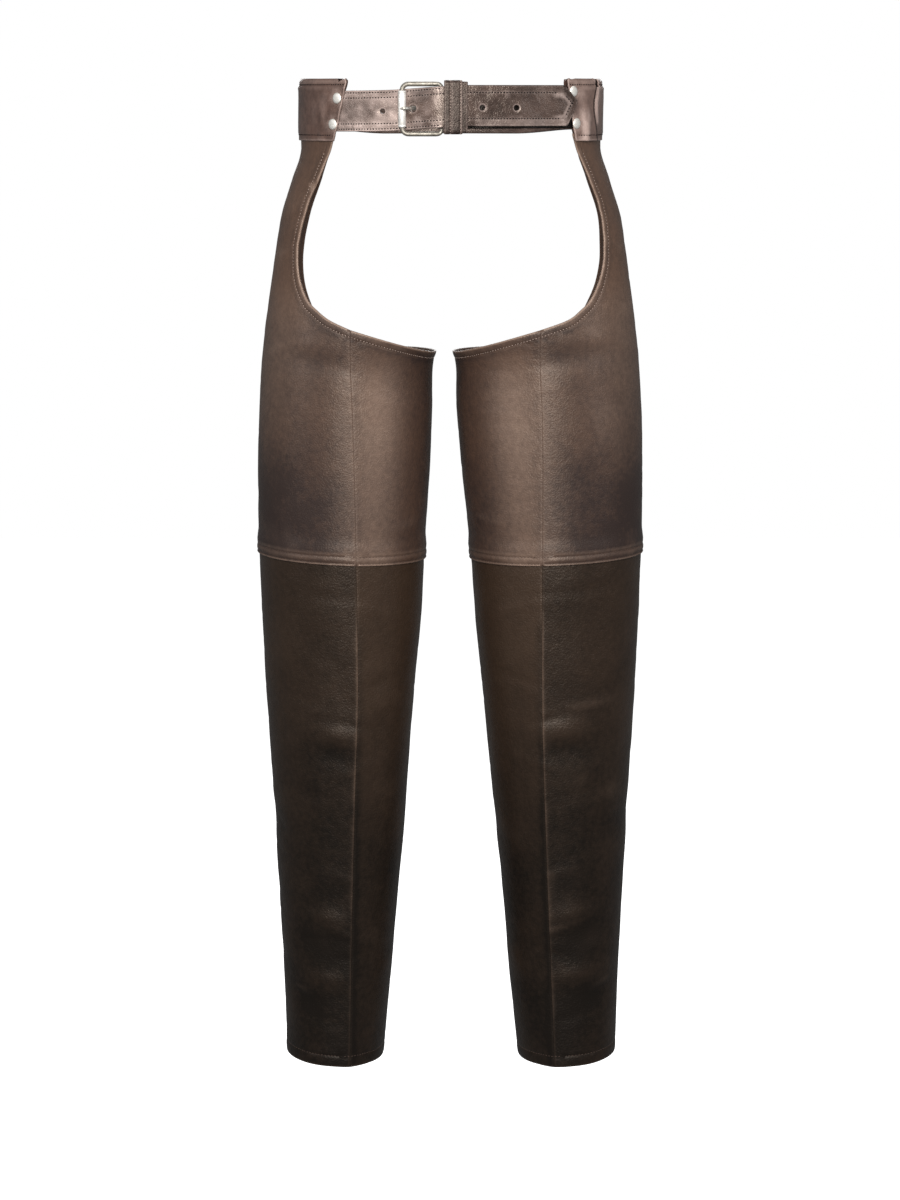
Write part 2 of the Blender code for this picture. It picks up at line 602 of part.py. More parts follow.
def build_buckle_strap():
    """From inside the right tab to the hinge bar, round it, and back behind itself."""
    lifts = ((HINGE_ARC, HINGE_LIFT + wrap_radius()), (-0.0030, 0.0077), (0.008, 0.0052), (0.018, 0.0038),
             (0.030, 0.0036), (0.060, 0.0031), (0.150, 0.0031))
    main = [belt_point(arc, table_value(lifts, 1, arc), 0.0)
            for arc in list(np.arange(0.143, 0.026, -0.007)) + [0.020, 0.014, 0.008, 0.002, -0.003]]
    turn = [belt_point(HINGE_ARC - wrap_radius() * math.sin(math.radians(a)),
                       HINGE_LIFT + wrap_radius() * math.cos(math.radians(a)), 0.0)
            for a in range(0, 181, 20)]
    back = [belt_point(arc, HINGE_LIFT - wrap_radius(), 0.0) for arc in (-0.002, 0.006, 0.014, 0.022, 0.027)]
    path = main + turn + back
    ends = [(SINGLE_MIDDLE - SINGLE_WIDTH / 2, SINGLE_MIDDLE + SINGLE_WIDTH / 2)] * len(path)
    strap = leather("buckle_strap", *strap_mesh(path, SINGLE_STRAP, ends), BELT_LEATHER)
    slot_from, slot_to = belt_point(HINGE_ARC - 0.008, 0.0, 0.0), belt_point(HINGE_ARC + 0.008, 0.0, 0.0)
    bpy.ops.mesh.primitive_cube_add(size=1.0, location=((slot_from.x + slot_to.x) / 2,
                                                        -WAIST_HALF_DEPTH - HINGE_LIFT, PRONG_MIDDLE))
    slot = as_cutter(bpy.context.object)
    slot.name = "prong_slot"
    slot.data.transform(Matrix.Diagonal((slot_to.x - slot_from.x, 0.022, 0.0100, 1.0)))
    cut(strap, slot)


def build_back_strap():
    """Plain, from inside one tab round the back to inside the other."""
    angles = [118.0 + step * 4.0 for step in range(32)]
    path = [waist_point(angle, BELT_LIFT + BACK_STRAP / 2, 0.0) for angle in angles]
    ends = []
    for angle in angles:
        middle = BACK_MIDDLE - BACK_DROP * smooth_step((58.0 - abs(angle - 180.0)) / 30.0)
        ends.append((middle - BACK_WIDTH / 2, middle + BACK_WIDTH / 2))
    leather("back_strap", *strap_mesh(path, BACK_STRAP, ends), BELT_LEATHER)


def build_frame():
    """Round bar bent to a rectangle with round corners, tilted so that the roller side stands out further."""
    half = BUCKLE_HEIGHT / 2
    corners = ((HINGE_CORNER, HINGE_ARC, 1, 0), (ROLLER_CORNER, ROLLER_ARC, 1, 90),
               (ROLLER_CORNER, ROLLER_ARC, -1, 180), (HINGE_CORNER, HINGE_ARC, -1, 270))
    flat = []
    for radius, arc, upward, start in corners:
        inward = -1 if arc == HINGE_ARC else 1
        for step in range(5):
            turn = math.radians(start + 22.5 * step)
            flat.append((arc + inward * radius + radius * math.cos(turn),
                         upward * (half - radius) + radius * math.sin(turn)))
    tilt = (HINGE_LIFT - ROLLER_LIFT) / (HINGE_ARC - ROLLER_ARC)
    middles = [belt_point(arc, ROLLER_LIFT + tilt * (arc - ROLLER_ARC), BUCKLE_MIDDLE + z) for arc, z in flat]
    radii = [HINGE_RADIUS + (BAR_RADIUS - HINGE_RADIUS) * smooth_step((HINGE_ARC - 0.001 - arc) / 0.005)
             for arc, z in flat]
    metal("buckle_frame", *rod_mesh(middles, [(r, r) for r in radii], closed=True, sides=10))


def rod_mesh(middles, half_sizes, closed, sides):
    """A rod of oval section. Half sizes are along the height-like axis of the section and across it."""
    rings = []
    for i, middle in enumerate(middles):
        before = middles[i - 1] if closed or i else middles[0]
        after = middles[(i + 1) % len(middles)] if closed or i < len(middles) - 1 else middles[-1]
        run = (after - before).normalized()
        outward = Vector((middle.x / WAIST_LEFT**2, middle.y / WAIST_HALF_DEPTH**2, 0.0)).normalized()
        beside = run.cross(outward).normalized()
        outward = beside.cross(run).normalized()
        wide, deep = half_sizes[i]
        rings.append([middle + beside * wide * math.cos(2 * math.pi * k / sides)
                      + outward * deep * math.sin(2 * math.pi * k / sides) for k in range(sides)])
    return tube_mesh(rings, closed)


def build_roller():
    """A tube on the left bar, free to turn."""
    sides = 16
    middle = belt_point(ROLLER_ARC, ROLLER_LIFT, 0.0)

    def circle(radius, z):
        return [Vector((middle.x + radius * math.cos(2 * math.pi * k / sides),
                        middle.y + radius * math.sin(2 * math.pi * k / sides), z)) for k in range(sides)]

    low, high = BUCKLE_MIDDLE - ROLLER_LENGTH / 2, BUCKLE_MIDDLE + ROLLER_LENGTH / 2
    round_off = 0.0006
    profile = ((ROLLER_BORE, low), (ROLLER_RADIUS - round_off, low), (ROLLER_RADIUS, low + round_off),
               (ROLLER_RADIUS, high - round_off), (ROLLER_RADIUS - round_off, high), (ROLLER_BORE, high))
    rings = [circle(radius, z) for radius, z in profile]
    metal("buckle_roller", *tube_mesh(rings, closed=True))


def build_prong():
    """Looped on the hinge bar, it runs under the tip strap, up through the hole and over the roller."""
    loop = HINGE_RADIUS + GAP + PRONG_DEPTH / 2
    bends = [(HINGE_ARC - loop * math.sin(math.radians(a)), HINGE_LIFT + loop * math.cos(math.radians(a)))
             for a in (-150, -115, -80, -45, -10)]
    under = [(-0.0130, 0.0068), (-0.0205, 0.0039), (-0.0275, 0.0012), (-0.0330, 0.0011), (-0.0360, 0.0040),
             (-0.0384, 0.0092), (-0.0412, 0.0134), (-0.0440, 0.0147), (-0.0468, 0.0146)]
    stations = bends + under
    middles = [belt_point(arc, lift, PRONG_MIDDLE) for arc, lift in stations]
    halves = [(PRONG_WIDTH / 2, PRONG_DEPTH / 2)] * (len(stations) - 1)
    halves.append((PRONG_WIDTH * 0.34, PRONG_DEPTH * 0.34))
    metal("buckle_prong", *rod_mesh(middles, halves, closed=False, sides=6))


def build_keeper():
    """Two plies of strap sewn into a loop round both belt ends."""
    plies = (("keeper", 0.0, KEEPER_END), ("keeper_upper_ply", KEEPER_PLY + GAP, KEEPER_PLY_END))
    for name, grow, last in plies:
        rings = []
        stops = [KEEPER_START + (last - KEEPER_START) * step / 4 for step in range(5)]
        for arc, out in [(stop, KEEPER_PLY) for stop in stops] + [(stop, 0.0) for stop in reversed(stops)]:
            share = (arc - KEEPER_START) / (KEEPER_END - KEEPER_START)
            front = KEEPER_FRONT_START + (KEEPER_FRONT_END - KEEPER_FRONT_START) * share
            extra, corner = grow + out, 0.0010 + grow + out
            ring = []
            for lift, z, start in ((front, KEEPER_TOP, 0), (KEEPER_BACK, KEEPER_TOP, 90),
                                   (KEEPER_BACK, KEEPER_BOTTOM, 180), (front, KEEPER_BOTTOM, 270)):
                inward = 1 if start in (90, 180) else -1
                upward = -1 if start in (0, 90) else 1
                for step in range(4):
                    turn = math.radians(start + 30.0 * step)
                    ring.append(belt_point(arc, lift + inward * (corner - extra) + corner * math.cos(turn),
                                           z + upward * (corner - extra) + corner * math.sin(turn)))
            rings.append(ring)
        leather(name, *tube_mesh(rings, closed=True), BELT_LEATHER)


def tab_mesh(side, step, first_angle, last_angle, rise):
    """A wall that follows the tab's path over the belt. first_angle and last_angle give a row's two ends by
    its z and its share of the way from the front layer to the back layer; rise adds lift by angle and share.
    """
    count = len(TAB_PATH)
    outside, inside = [], []
    for row, (lift, z) in enumerate(TAB_PATH):
        before, after = TAB_PATH[max(0, row - 1)], TAB_PATH[min(count - 1, row + 1)]
        run = Vector((after[0] - before[0], after[1] - before[1])).normalized()
        out_lift, out_z = run.y * WALL / 2, -run.x * WALL / 2
        share = min(1.0, max(0.0, (row - TAB_FOLD_FIRST) / (TAB_FOLD_LAST - TAB_FOLD_FIRST)))
        first, last = first_angle(z, share), last_angle(z, share)
        columns = round((last_angle(0, 0) - first_angle(0, 0)) / step)
        angles = [first + (last - first) * c / columns for c in range(columns + 1)]
        outside.append([waist_point(side * a, lift + out_lift + rise(a, share), z + out_z) for a in angles])
        inside.append([waist_point(side * a, lift - out_lift + rise(a, share), z - out_z) for a in angles])
    return wall_mesh(outside, inside)


def tab_front(column, z, share):
    front, inner = table_value(TAB_FRONT_EDGE, column, z), table_value(TAB_INNER_EDGE, column, z)
    return front * (1 - share) + inner * share


def level_rise(angle, share):
    return 0.0


def patch_rise(angle, share):
    climb = smooth_step((angle - PATCH_RISE_FROM) / (PATCH_RISE_TO - PATCH_RISE_FROM))
    return LAP_RISE * (1 - share) * climb


def patch_back(z, share):
    return table_value(PATCH_BACK_EDGE, 1, z) * (1 - share) + PATCH_INNER_BACK * share


def side_piece_front(z, share):
    return SIDE_PIECE_FRONT if z < SIDE_PIECE_STEP and share == 0 else SIDE_PIECE_TOP_FRONT


def build_tabs():
    """The left tab is one strip folded over the belt. The right one is a side strip with a lapped patch."""
    leather("tab_left", *tab_mesh(
        -1, TAB_STEP, lambda z, share: tab_front(1, z, share),
        lambda z, share: table_value(TAB_BACK_EDGE, 1, z), level_rise))
    leather("tab_right_front", *tab_mesh(
        1, PATCH_STEP, lambda z, share: tab_front(2, z, share), patch_back, patch_rise))
    leather("tab_right_side", *tab_mesh(
        1, TAB_STEP, side_piece_front, lambda z, share: table_value(TAB_BACK_EDGE, 2, z), level_rise))


def build_rivet(name, angle, z):
    """Low domed head on the front layer of the tab."""
    sides = 14
    base = waist_point(angle, 0.0064 + GAP, z)
    outward = (waist_point(angle, 1.0, z) - waist_point(angle, 0.0, z)).normalized()
    beside = Vector((-outward.y, outward.x, 0.0))
    profile = [(0.0, 1.0), (RIVET_RIM, 1.0), (RIVET_RIM + 0.55 * (RIVET_HEIGHT - RIVET_RIM), 0.80),
               (RIVET_RIM + 0.88 * (RIVET_HEIGHT - RIVET_RIM), 0.45), (RIVET_HEIGHT, 0.12)]
    upward = Vector((0.0, 0.0, 1.0))
    turns = [2 * math.pi * k / sides for k in range(sides)]
    round_line = [(beside * math.cos(turn) + upward * math.sin(turn)) * RIVET_RADIUS for turn in turns]
    rings = [[base + outward * rise + spoke * share for spoke in round_line] for rise, share in profile]
    metal(name, *tube_mesh(rings, closed=False))


def build_rivets():
    for place, (angle, z) in RIVETS.items():
        build_rivet(f"rivet_{place}", angle, z)


clear_scene()
for leg_side in (-1, 1):
    build_leg(leg_side)
build_tabs()
build_tip_strap()
build_buckle_strap()
build_back_strap()
build_frame()
build_roller()
build_prong()
build_keeper()
build_rivets()
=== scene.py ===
import math

import bpy
import numpy as np
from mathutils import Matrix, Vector
from mathutils.geometry import delaunay_2d_cdt


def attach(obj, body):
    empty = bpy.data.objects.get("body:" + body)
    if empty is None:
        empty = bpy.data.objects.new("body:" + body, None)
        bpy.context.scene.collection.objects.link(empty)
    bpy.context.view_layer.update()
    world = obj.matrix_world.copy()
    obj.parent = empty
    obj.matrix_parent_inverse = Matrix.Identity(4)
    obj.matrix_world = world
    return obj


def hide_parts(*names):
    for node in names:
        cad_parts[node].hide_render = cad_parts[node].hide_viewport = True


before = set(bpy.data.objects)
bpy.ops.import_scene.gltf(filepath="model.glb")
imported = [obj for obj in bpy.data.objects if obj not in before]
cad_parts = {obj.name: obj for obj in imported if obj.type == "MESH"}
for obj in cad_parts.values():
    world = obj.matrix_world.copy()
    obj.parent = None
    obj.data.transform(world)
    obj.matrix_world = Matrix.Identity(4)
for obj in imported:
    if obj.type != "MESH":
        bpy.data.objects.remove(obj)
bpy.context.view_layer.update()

# Studio
# The chaps hang in a white studio. The camera stands 3.2 m in front of the waist, level with it, and looks a
# little down. A large soft light hangs over it, and two weak ones open the shadows at the sides.
def add_object(name, data):
    made = bpy.data.objects.new(name, data)
    bpy.context.scene.collection.objects.link(made)
    return made


def start_material(name, **sockets):
    """A new material with its tree and its shader, on which the named inputs are set."""
    made = bpy.data.materials.new(name)
    made.use_nodes = True
    shader = made.node_tree.nodes["Principled BSDF"]
    for socket, value in sockets.items():
        shader.inputs[socket.replace("_", " ")].default_value = value
    return made, made.node_tree, shader


bpy.context.scene.view_settings.view_transform = "Standard"
PHOTO_HEIGHT, FOCAL_PIXELS, HORIZON_ROW = 1200, 3048.0, 100.0
CAMERA_DISTANCE = 3.2
camera_data = bpy.data.cameras.new("camera")
camera_data.sensor_fit = "VERTICAL"
camera_data.sensor_height = 36.0
camera_data.lens = camera_data.sensor_height * FOCAL_PIXELS / PHOTO_HEIGHT
camera = add_object("camera", camera_data)
camera.location = (0.0, -CAMERA_DISTANCE, 0.0)
looking_down = math.atan2(PHOTO_HEIGHT / 2 - HORIZON_ROW, FOCAL_PIXELS)
camera.rotation_euler = (math.pi / 2 - looking_down, 0.0, 0.0)
bpy.context.scene.camera = camera


def softbox(name, place, size, power, colour=(1.0, 1.0, 1.0), aim=(0.0, 0.0, -0.45)):
    light = bpy.data.lights.new(name, "AREA")
    light.shape = "RECTANGLE"
    light.size, light.size_y = size
    light.energy = power
    light.color = colour
    lamp = add_object(name, light)
    lamp.location = place
    lamp.rotation_euler = (Vector(aim) - Vector(place)).to_track_quat("-Z", "Y").to_euler()


softbox("key", (0.0, -2.5, 0.95), (1.5, 0.7), 62.0, (1.0, 0.975, 0.95), aim=(0.0, 0.0, -0.15))
softbox("front", (0.0, -3.5, 0.05), (1.5, 1.0), 62.0, (1.0, 0.98, 0.96), aim=(0.0, 0.0, -0.1))
softbox("fill_left", (-2.4, -1.5, 0.5), (0.7, 1.6), 15.0, (0.93, 0.95, 1.0))
softbox("fill_right", (2.4, -1.5, 0.5), (0.7, 1.6), 15.0, (0.93, 0.95, 1.0))
softbox("top", (0.0, 0.4, 2.0), (1.4, 1.4), 16.0, aim=(0.0, 0.0, 0.0))
softbox("back", (0.0, 2.4, 0.7), (1.8, 1.2), 26.0)

# The backdrop is white all round, and the leather is lit by a dimmer one, as flags beside a set do.
BACKDROP, ROOM_LIGHT = 1.0, 0.18
world = bpy.data.worlds.new("studio")
world.use_nodes = True
sky = world.node_tree
sky_seen = sky.nodes.new("ShaderNodeLightPath")
sky_level = sky.nodes.new("ShaderNodeMapRange")
sky_level.inputs["To Min"].default_value = ROOM_LIGHT
sky_level.inputs["To Max"].default_value = BACKDROP
sky.links.new(sky_seen.outputs["Is Camera Ray"], sky_level.inputs["Value"])
sky.links.new(sky_level.outputs["Result"], sky.nodes["Background"].inputs["Strength"])
sky.nodes["Background"].inputs["Color"].default_value = (1.0, 1.0, 1.0, 1.0)
bpy.context.scene.world = world

FLOOR_LEVEL, FLOOR_HALF = -1.32, 6.0
floor_mesh = bpy.data.meshes.new("floor")
corners = [(x * FLOOR_HALF, y * FLOOR_HALF, 0.0) for x, y in ((-1, -1), (1, -1), (1, 1), (-1, 1))]
floor_mesh.from_pydata(corners, [], [(0, 1, 2, 3)])
floor = add_object("floor", floor_mesh)
floor.location = (0.0, 0.0, FLOOR_LEVEL)
floor_mesh.materials.append(start_material(
    "floor_paint", Base_Color=(0.93, 0.93, 0.93, 1.0), Roughness=0.9, Emission_Color=(1.0, 1.0, 1.0, 1.0),
    Emission_Strength=0.85)[0])
floor.visible_diffuse = False
floor.visible_glossy = False


# Leather
# Full-grain cowhide of 1.4 mm with a fine pebbled grain, waxed and rubbed warm where it wears. Each panel
# carries two attributes: tone, from near-black to warm brown, and wear, which lightens folds and rims. Both
# also carry painted shade and painted highlights.
def fill(tree, socket, value):
    """Sets a socket, or links another node's socket to it."""
    if isinstance(value, bpy.types.NodeSocket):
        tree.links.new(value, socket)
    else:
        socket.default_value = value


def node_of(tree, kind, settings=(), **sockets):
    made = tree.nodes.new(kind)
    for name, value in settings:
        setattr(made, name, value)
    for name, value in sockets.items():
        fill(tree, made.inputs[name.replace("_", " ")], value)
    return made


def leather_material(name, dark, warm, worn, grain, roughness, bump, mottle=1.0):
    """dark and warm are mixed by tone, worn is added by wear. grain is the width of a pebble in metres,
    mottle the strength of the blotches."""
    made, tree, shader = start_material(name, Specular_Tint=(1.0, 0.86, 0.74, 1.0), Coat_Weight=0.05,
                                        Coat_Roughness=0.35)
    where = node_of(tree, "ShaderNodeTexCoord").outputs["Object"]
    pebble = node_of(tree, "ShaderNodeTexVoronoi", [("feature", "SMOOTH_F1")], Vector=where,
                     Scale=1.0 / grain, Randomness=1.0)
    wrinkle = node_of(tree, "ShaderNodeTexNoise", Vector=where, Scale=0.32 / grain, Detail=4.0,
                      Roughness=0.62, Distortion=0.8)
    cloud = node_of(tree, "ShaderNodeTexNoise", Vector=where, Scale=17.0, Detail=4.0, Roughness=0.6)
    speckle = node_of(tree, "ShaderNodeTexNoise", Vector=where, Scale=170.0, Detail=3.0, Roughness=0.65)

    def maths(operation, first, second):
        made_node = node_of(tree, "ShaderNodeMath", [("operation", operation)])
        for socket, value in zip(made_node.inputs, (first, second)):
            fill(tree, socket, value)
        return made_node.outputs[0]

    def attribute(which):
        return node_of(tree, "ShaderNodeAttribute", [("attribute_name", which)]).outputs["Fac"]

    def blended(factor, first, second):
        mix = node_of(tree, "ShaderNodeMix", [("data_type", "RGBA")], Factor=factor)
        for socket, value in zip((mix.inputs[6], mix.inputs[7]), (first, second)):
            fill(tree, socket, (*value, 1.0) if isinstance(value, tuple) else value)
        return mix.outputs[2]

    clouds = maths("MULTIPLY", maths("SUBTRACT", cloud.outputs["Fac"], 0.5), 1.1 * mottle)
    specks = maths("MULTIPLY", maths("SUBTRACT", speckle.outputs["Fac"], 0.5), 0.9 * mottle)
    tone = maths("ADD", attribute("tone"), maths("ADD", clouds, specks))
    tone = maths("MINIMUM", maths("MAXIMUM", tone, 0.0), 1.0)
    wear = maths("MULTIPLY", attribute("wear"), maths("ADD", 0.55, speckle.outputs["Fac"]))
    wear = maths("MINIMUM", maths("MAXIMUM", wear, 0.0), 1.0)
    fill(tree, shader.inputs["Base Color"], blended(wear, blended(tone, dark, warm), worn))
    # The specular level follows tone and wear, so painted shade dims the sheen as well.
    sheen_from_tone_and_wear = maths("ADD", maths("MULTIPLY", tone, 0.42), maths("ADD", maths("MULTIPLY", wear, 0.25), 0.17))
    fill(tree, shader.inputs["Specular IOR Level"], sheen_from_tone_and_wear)
    gloss = maths("ADD", maths("MULTIPLY", wrinkle.outputs["Fac"], 0.22), roughness - 0.11)
    fill(tree, shader.inputs["Roughness"], gloss)
    relief = maths("ADD", maths("MULTIPLY", pebble.outputs["Distance"], 0.8),
                   maths("MULTIPLY", wrinkle.outputs["Fac"], 1.1))
    bumps = node_of(tree, "ShaderNodeBump", Strength=bump, Distance=grain * 0.35, Height=relief)
    fill(tree, shader.inputs["Normal"], bumps.outputs["Normal"])
    return made


UPPER_LEATHER = leather_material("upper_leather", (0.029, 0.020, 0.018), (0.100, 0.054, 0.034),
                                 (0.260, 0.180, 0.138), 0.0015, 0.41, 0.60, 0.7)
# The lower legs' leather is darker than the upper, partly its own colour and partly painted shade, as they
# hang further from the lamps.
LOWER_LEATHER_DARKER_AND_SHADED = leather_material("lower_leather", (0.0072, 0.0055, 0.0044), (0.048, 0.0275, 0.0165),
                                 (0.140, 0.092, 0.066), 0.0016, 0.41, 0.60, 0.42)


# Shape of the legs
# Each leg is a tube of four panels cut to hang from the waist and taper to the hem. This is the surface that
# the panels lie on, as the CAD has it, with the soft creases of worn leather laid over it.
WALL, GAP = 0.0014, 0.0003
BACK_SEAM = 270.0  # angle of the back seam, where 0 is a leg's outer side and 90 its front
LEVEL_COLUMNS = ("z", "outer_l", "outer_r", "inner_l", "inner_r", "seam_l", "seam_r", "front", "back",
                 "middle", "ridge")
LEVELS = (
    (-0.020, 0.15465, 0.15615, -0.15465, -0.15615, 0.1020, 0.0930, 0.11385, 0.11385, 0.000, 0.0000),
    (-0.046, 0.15465, 0.15615, -0.15465, -0.15615, 0.1020, 0.0930, 0.11385, 0.11385, 0.000, 0.0000),
    (-0.080, 0.1640, 0.1655, -0.1300, -0.1300, 0.1020, 0.0930, 0.1090, 0.1100, 0.000, 0.0000),
    (-0.120, 0.1762, 0.1780, -0.1020, -0.1040, 0.1020, 0.0930, 0.1030, 0.1060, 0.001, 0.0000),
    (-0.165, 0.1830, 0.1845, -0.0620, -0.0680, 0.1020, 0.0930, 0.0980, 0.1030, 0.002, 0.0000),
    (-0.210, 0.1902, 0.1915, -0.0170, -0.0270, 0.1020, 0.0930, 0.0930, 0.0990, 0.003, 0.0004),
    (-0.262, 0.1968, 0.1980, 0.0153, 0.0035, 0.1020, 0.0920, 0.0900, 0.0950, 0.003, 0.0008),
    (-0.320, 0.2008, 0.2014, 0.0183, 0.0065, 0.1000, 0.0945, 0.0890, 0.0910, 0.002, 0.0010),
    (-0.400, 0.2030, 0.2032, 0.0220, 0.0138, 0.0980, 0.0955, 0.0875, 0.0860, 0.000, 0.0010),
    (-0.482, 0.2018, 0.2024, 0.0276, 0.0225, 0.0970, 0.0955, 0.0850, 0.0820, -0.001, 0.0010),
    (-0.540, 0.2000, 0.2008, 0.0306, 0.0265, 0.0965, 0.0960, 0.0810, 0.0800, 0.000, 0.0020),
    (-0.620, 0.1966, 0.1970, 0.0377, 0.0347, 0.0970, 0.0970, 0.0765, 0.0810, 0.003, 0.0036),
    (-0.700, 0.1924, 0.1932, 0.0440, 0.0425, 0.1000, 0.0995, 0.0730, 0.0790, 0.007, 0.0040),
    (-0.790, 0.1877, 0.1893, 0.0510, 0.0518, 0.1030, 0.1030, 0.0690, 0.0730, 0.011, 0.0040),
    (-0.880, 0.1832, 0.1852, 0.0592, 0.0600, 0.1055, 0.1070, 0.0655, 0.0660, 0.014, 0.0036),
    (-0.950, 0.1804, 0.1826, 0.0655, 0.0662, 0.1070, 0.1100, 0.0640, 0.0620, 0.016, 0.0030),
    (-1.030, 0.1783, 0.1806, 0.0728, 0.0738, 0.1085, 0.1130, 0.0640, 0.0600, 0.017, 0.0026),
)
RIDGE_SPREAD, RIDGE_POWER, BACK_RIDGE = 24.0, 1.6, 0.5
CREASE_SHIFT, CREASE_STRETCH = 0.003, 0.08  # the right leg's creases lie higher and run longer
# Creases: height, angle of the middle, half length in degrees, half height, rise, slant
CREASES = (
    (-0.262, 72.0, 22.0, 0.012, -0.0020, 0.00010),
    (-0.245, 60.0, 20.0, 0.010, 0.0012, 0.00010),
    (-0.505, 262.0, 34.0, 0.014, -0.0022, 0.00006),
    (-0.535, 285.0, 34.0, 0.013, 0.0018, -0.00008),
    (-0.570, 255.0, 30.0, 0.014, -0.0020, 0.00008),
    (-0.655, 88.0, 17.0, 0.013, 0.0022, 0.00008),
    (-0.676, 86.0, 17.0, 0.012, -0.0012, 0.00008),
    (-0.760, 20.0, 30.0, 0.018, -0.0016, 0.00012),
    (-0.790, 225.0, 34.0, 0.018, 0.0016, -0.00010),
    (-0.858, 84.0, 18.0, 0.012, 0.0022, 0.00030),
    (-0.882, 62.0, 20.0, 0.014, -0.0018, 0.00020),
    (-0.905, 280.0, 36.0, 0.014, 0.0018, 0.00010),
    (-0.926, 78.0, 26.0, 0.012, 0.0022, 0.00005),
    (-0.952, 55.0, 18.0, 0.016, -0.0020, 0.00030),
    (-0.918, 150.0, 22.0, 0.014, 0.0014, -0.00030),
    (-0.960, 250.0, 34.0, 0.014, -0.0016, -0.00010),
)
# Fine folds that the cloth adds to them, in the same terms
FINE_CREASES = (
    (-0.120, 20.0, 26.0, 0.005, -0.0005, -0.00060),
    (-0.148, 28.0, 24.0, 0.005, 0.0005, -0.00060),
    (-0.232, 22.0, 26.0, 0.006, -0.0006, -0.00040),
    (-0.252, 30.0, 26.0, 0.005, 0.0005, -0.00050),
    (-0.272, 96.0, 20.0, 0.005, -0.0005, 0.00020),
    (-0.300, 110.0, 24.0, 0.006, 0.0004, 0.00030),
    (-0.430, 150.0, 24.0, 0.006, 0.0005, -0.00030),
    (-0.505, 78.0, 26.0, 0.006, -0.0006, 0.00020),
    (-0.521, 116.0, 20.0, 0.005, 0.0005, 0.00030),
    (-0.600, 124.0, 22.0, 0.005, -0.0006, -0.00030),
    (-0.628, 70.0, 18.0, 0.005, 0.0006, 0.00020),
    (-0.643, 100.0, 14.0, 0.004, -0.0008, 0.00030),
    (-0.690, 112.0, 20.0, 0.005, 0.0006, -0.00040),
    (-0.720, 66.0, 20.0, 0.006, -0.0006, 0.00030),
    (-0.812, 96.0, 18.0, 0.005, 0.0006, 0.00030),
    (-0.845, 60.0, 18.0, 0.005, -0.0007, 0.00030),
    (-0.874, 96.0, 16.0, 0.004, 0.0008, 0.00040),
    (-0.900, 108.0, 22.0, 0.005, -0.0007, -0.00030),
    (-0.938, 52.0, 18.0, 0.005, 0.0008, 0.00030),
    (-0.972, 84.0, 20.0, 0.006, -0.0006, 0.00020),
    (-0.540, 262.0, 26.0, 0.005, -0.0008, 0.00020),
    (-0.556, 278.0, 22.0, 0.005, 0.0007, -0.00020),
    (-0.900, 262.0, 26.0, 0.005, -0.0007, 0.00020),
)


def unit(vectors):
    return vectors / np.linalg.norm(vectors, axis=1)[:, None]


def curve_value(rows, column, x):
    """One column of a table at x, where the first column holds the x of each row, on a smooth curve."""
    xs = np.array([row[0] for row in rows], float)
    ys = np.array([row[column] for row in rows], float)
    if xs[0] > xs[-1]:
        xs, ys = xs[::-1], ys[::-1]
    x = np.clip(x, xs[0], xs[-1])
    slopes = np.diff(ys) / np.diff(xs)
    tangents = np.concatenate([[slopes[0]], (slopes[:-1] + slopes[1:]) / 2, [slopes[-1]]])
    tangents[1:-1][slopes[:-1] * slopes[1:] <= 0] = 0
    row = np.clip(np.searchsorted(xs, x) - 1, 0, len(xs) - 2)
    step = xs[row + 1] - xs[row]
    t = (x - xs[row]) / step
    return ((2 * t**3 - 3 * t**2 + 1) * ys[row] + (t**3 - 2 * t**2 + t) * step * tangents[row]
            + (3 * t**2 - 2 * t**3) * ys[row + 1] + (t**3 - t**2) * step * tangents[row + 1])


def smooth_step(value):
    value = np.clip(value, 0.0, 1.0)
    return value * value * (3.0 - 2.0 * value)


LATTICE = np.random.default_rng(11).uniform(-1.0, 1.0, (32, 32, 32))


def unevenness(points, size):
    """Smooth noise between -1 and 1 with bumps of about that size."""
    cell = points / size
    low = np.floor(cell).astype(int)
    part = smooth_step(cell - low)
    total = np.zeros(len(points))
    for corner in np.ndindex(2, 2, 2):
        weight = np.prod(np.where(np.array(corner) == 1, part, 1.0 - part), axis=1)
        x, y, z = ((low + corner) % 32).T
        total += weight * LATTICE[x, y, z]
    return total


def level(side, column, z):
    name = column if column in LEVEL_COLUMNS else column + ("_l" if side < 0 else "_r")
    return curve_value(LEVELS, LEVEL_COLUMNS.index(name), z)


def angle_at(side, z, distance):
    outer, inner = level(side, "outer", z), level(side, "inner", z)
    share = (distance - (outer + inner) / 2) / ((outer - inner) / 2)
    return np.degrees(np.arccos(np.clip(share, -1.0, 1.0)))


def seam_angle(side, z):
    return angle_at(side, z, level(side, "seam", z))


def turn_from(angle, other):
    return (angle - other + 180.0) % 360.0 - 180.0


def folds(side, z, angle, table):
    total = np.zeros_like(z)
    for z_mid, angle_mid, half_length, half_height, rise, slant in table:
        turn = turn_from(angle, angle_mid)
        across = (z - z_mid - CREASE_SHIFT * side + slant * turn) / half_height
        along = turn / (half_length * (1.0 + CREASE_STRETCH * side))
        total += rise * np.exp(-across**2 - along**2)
    return total


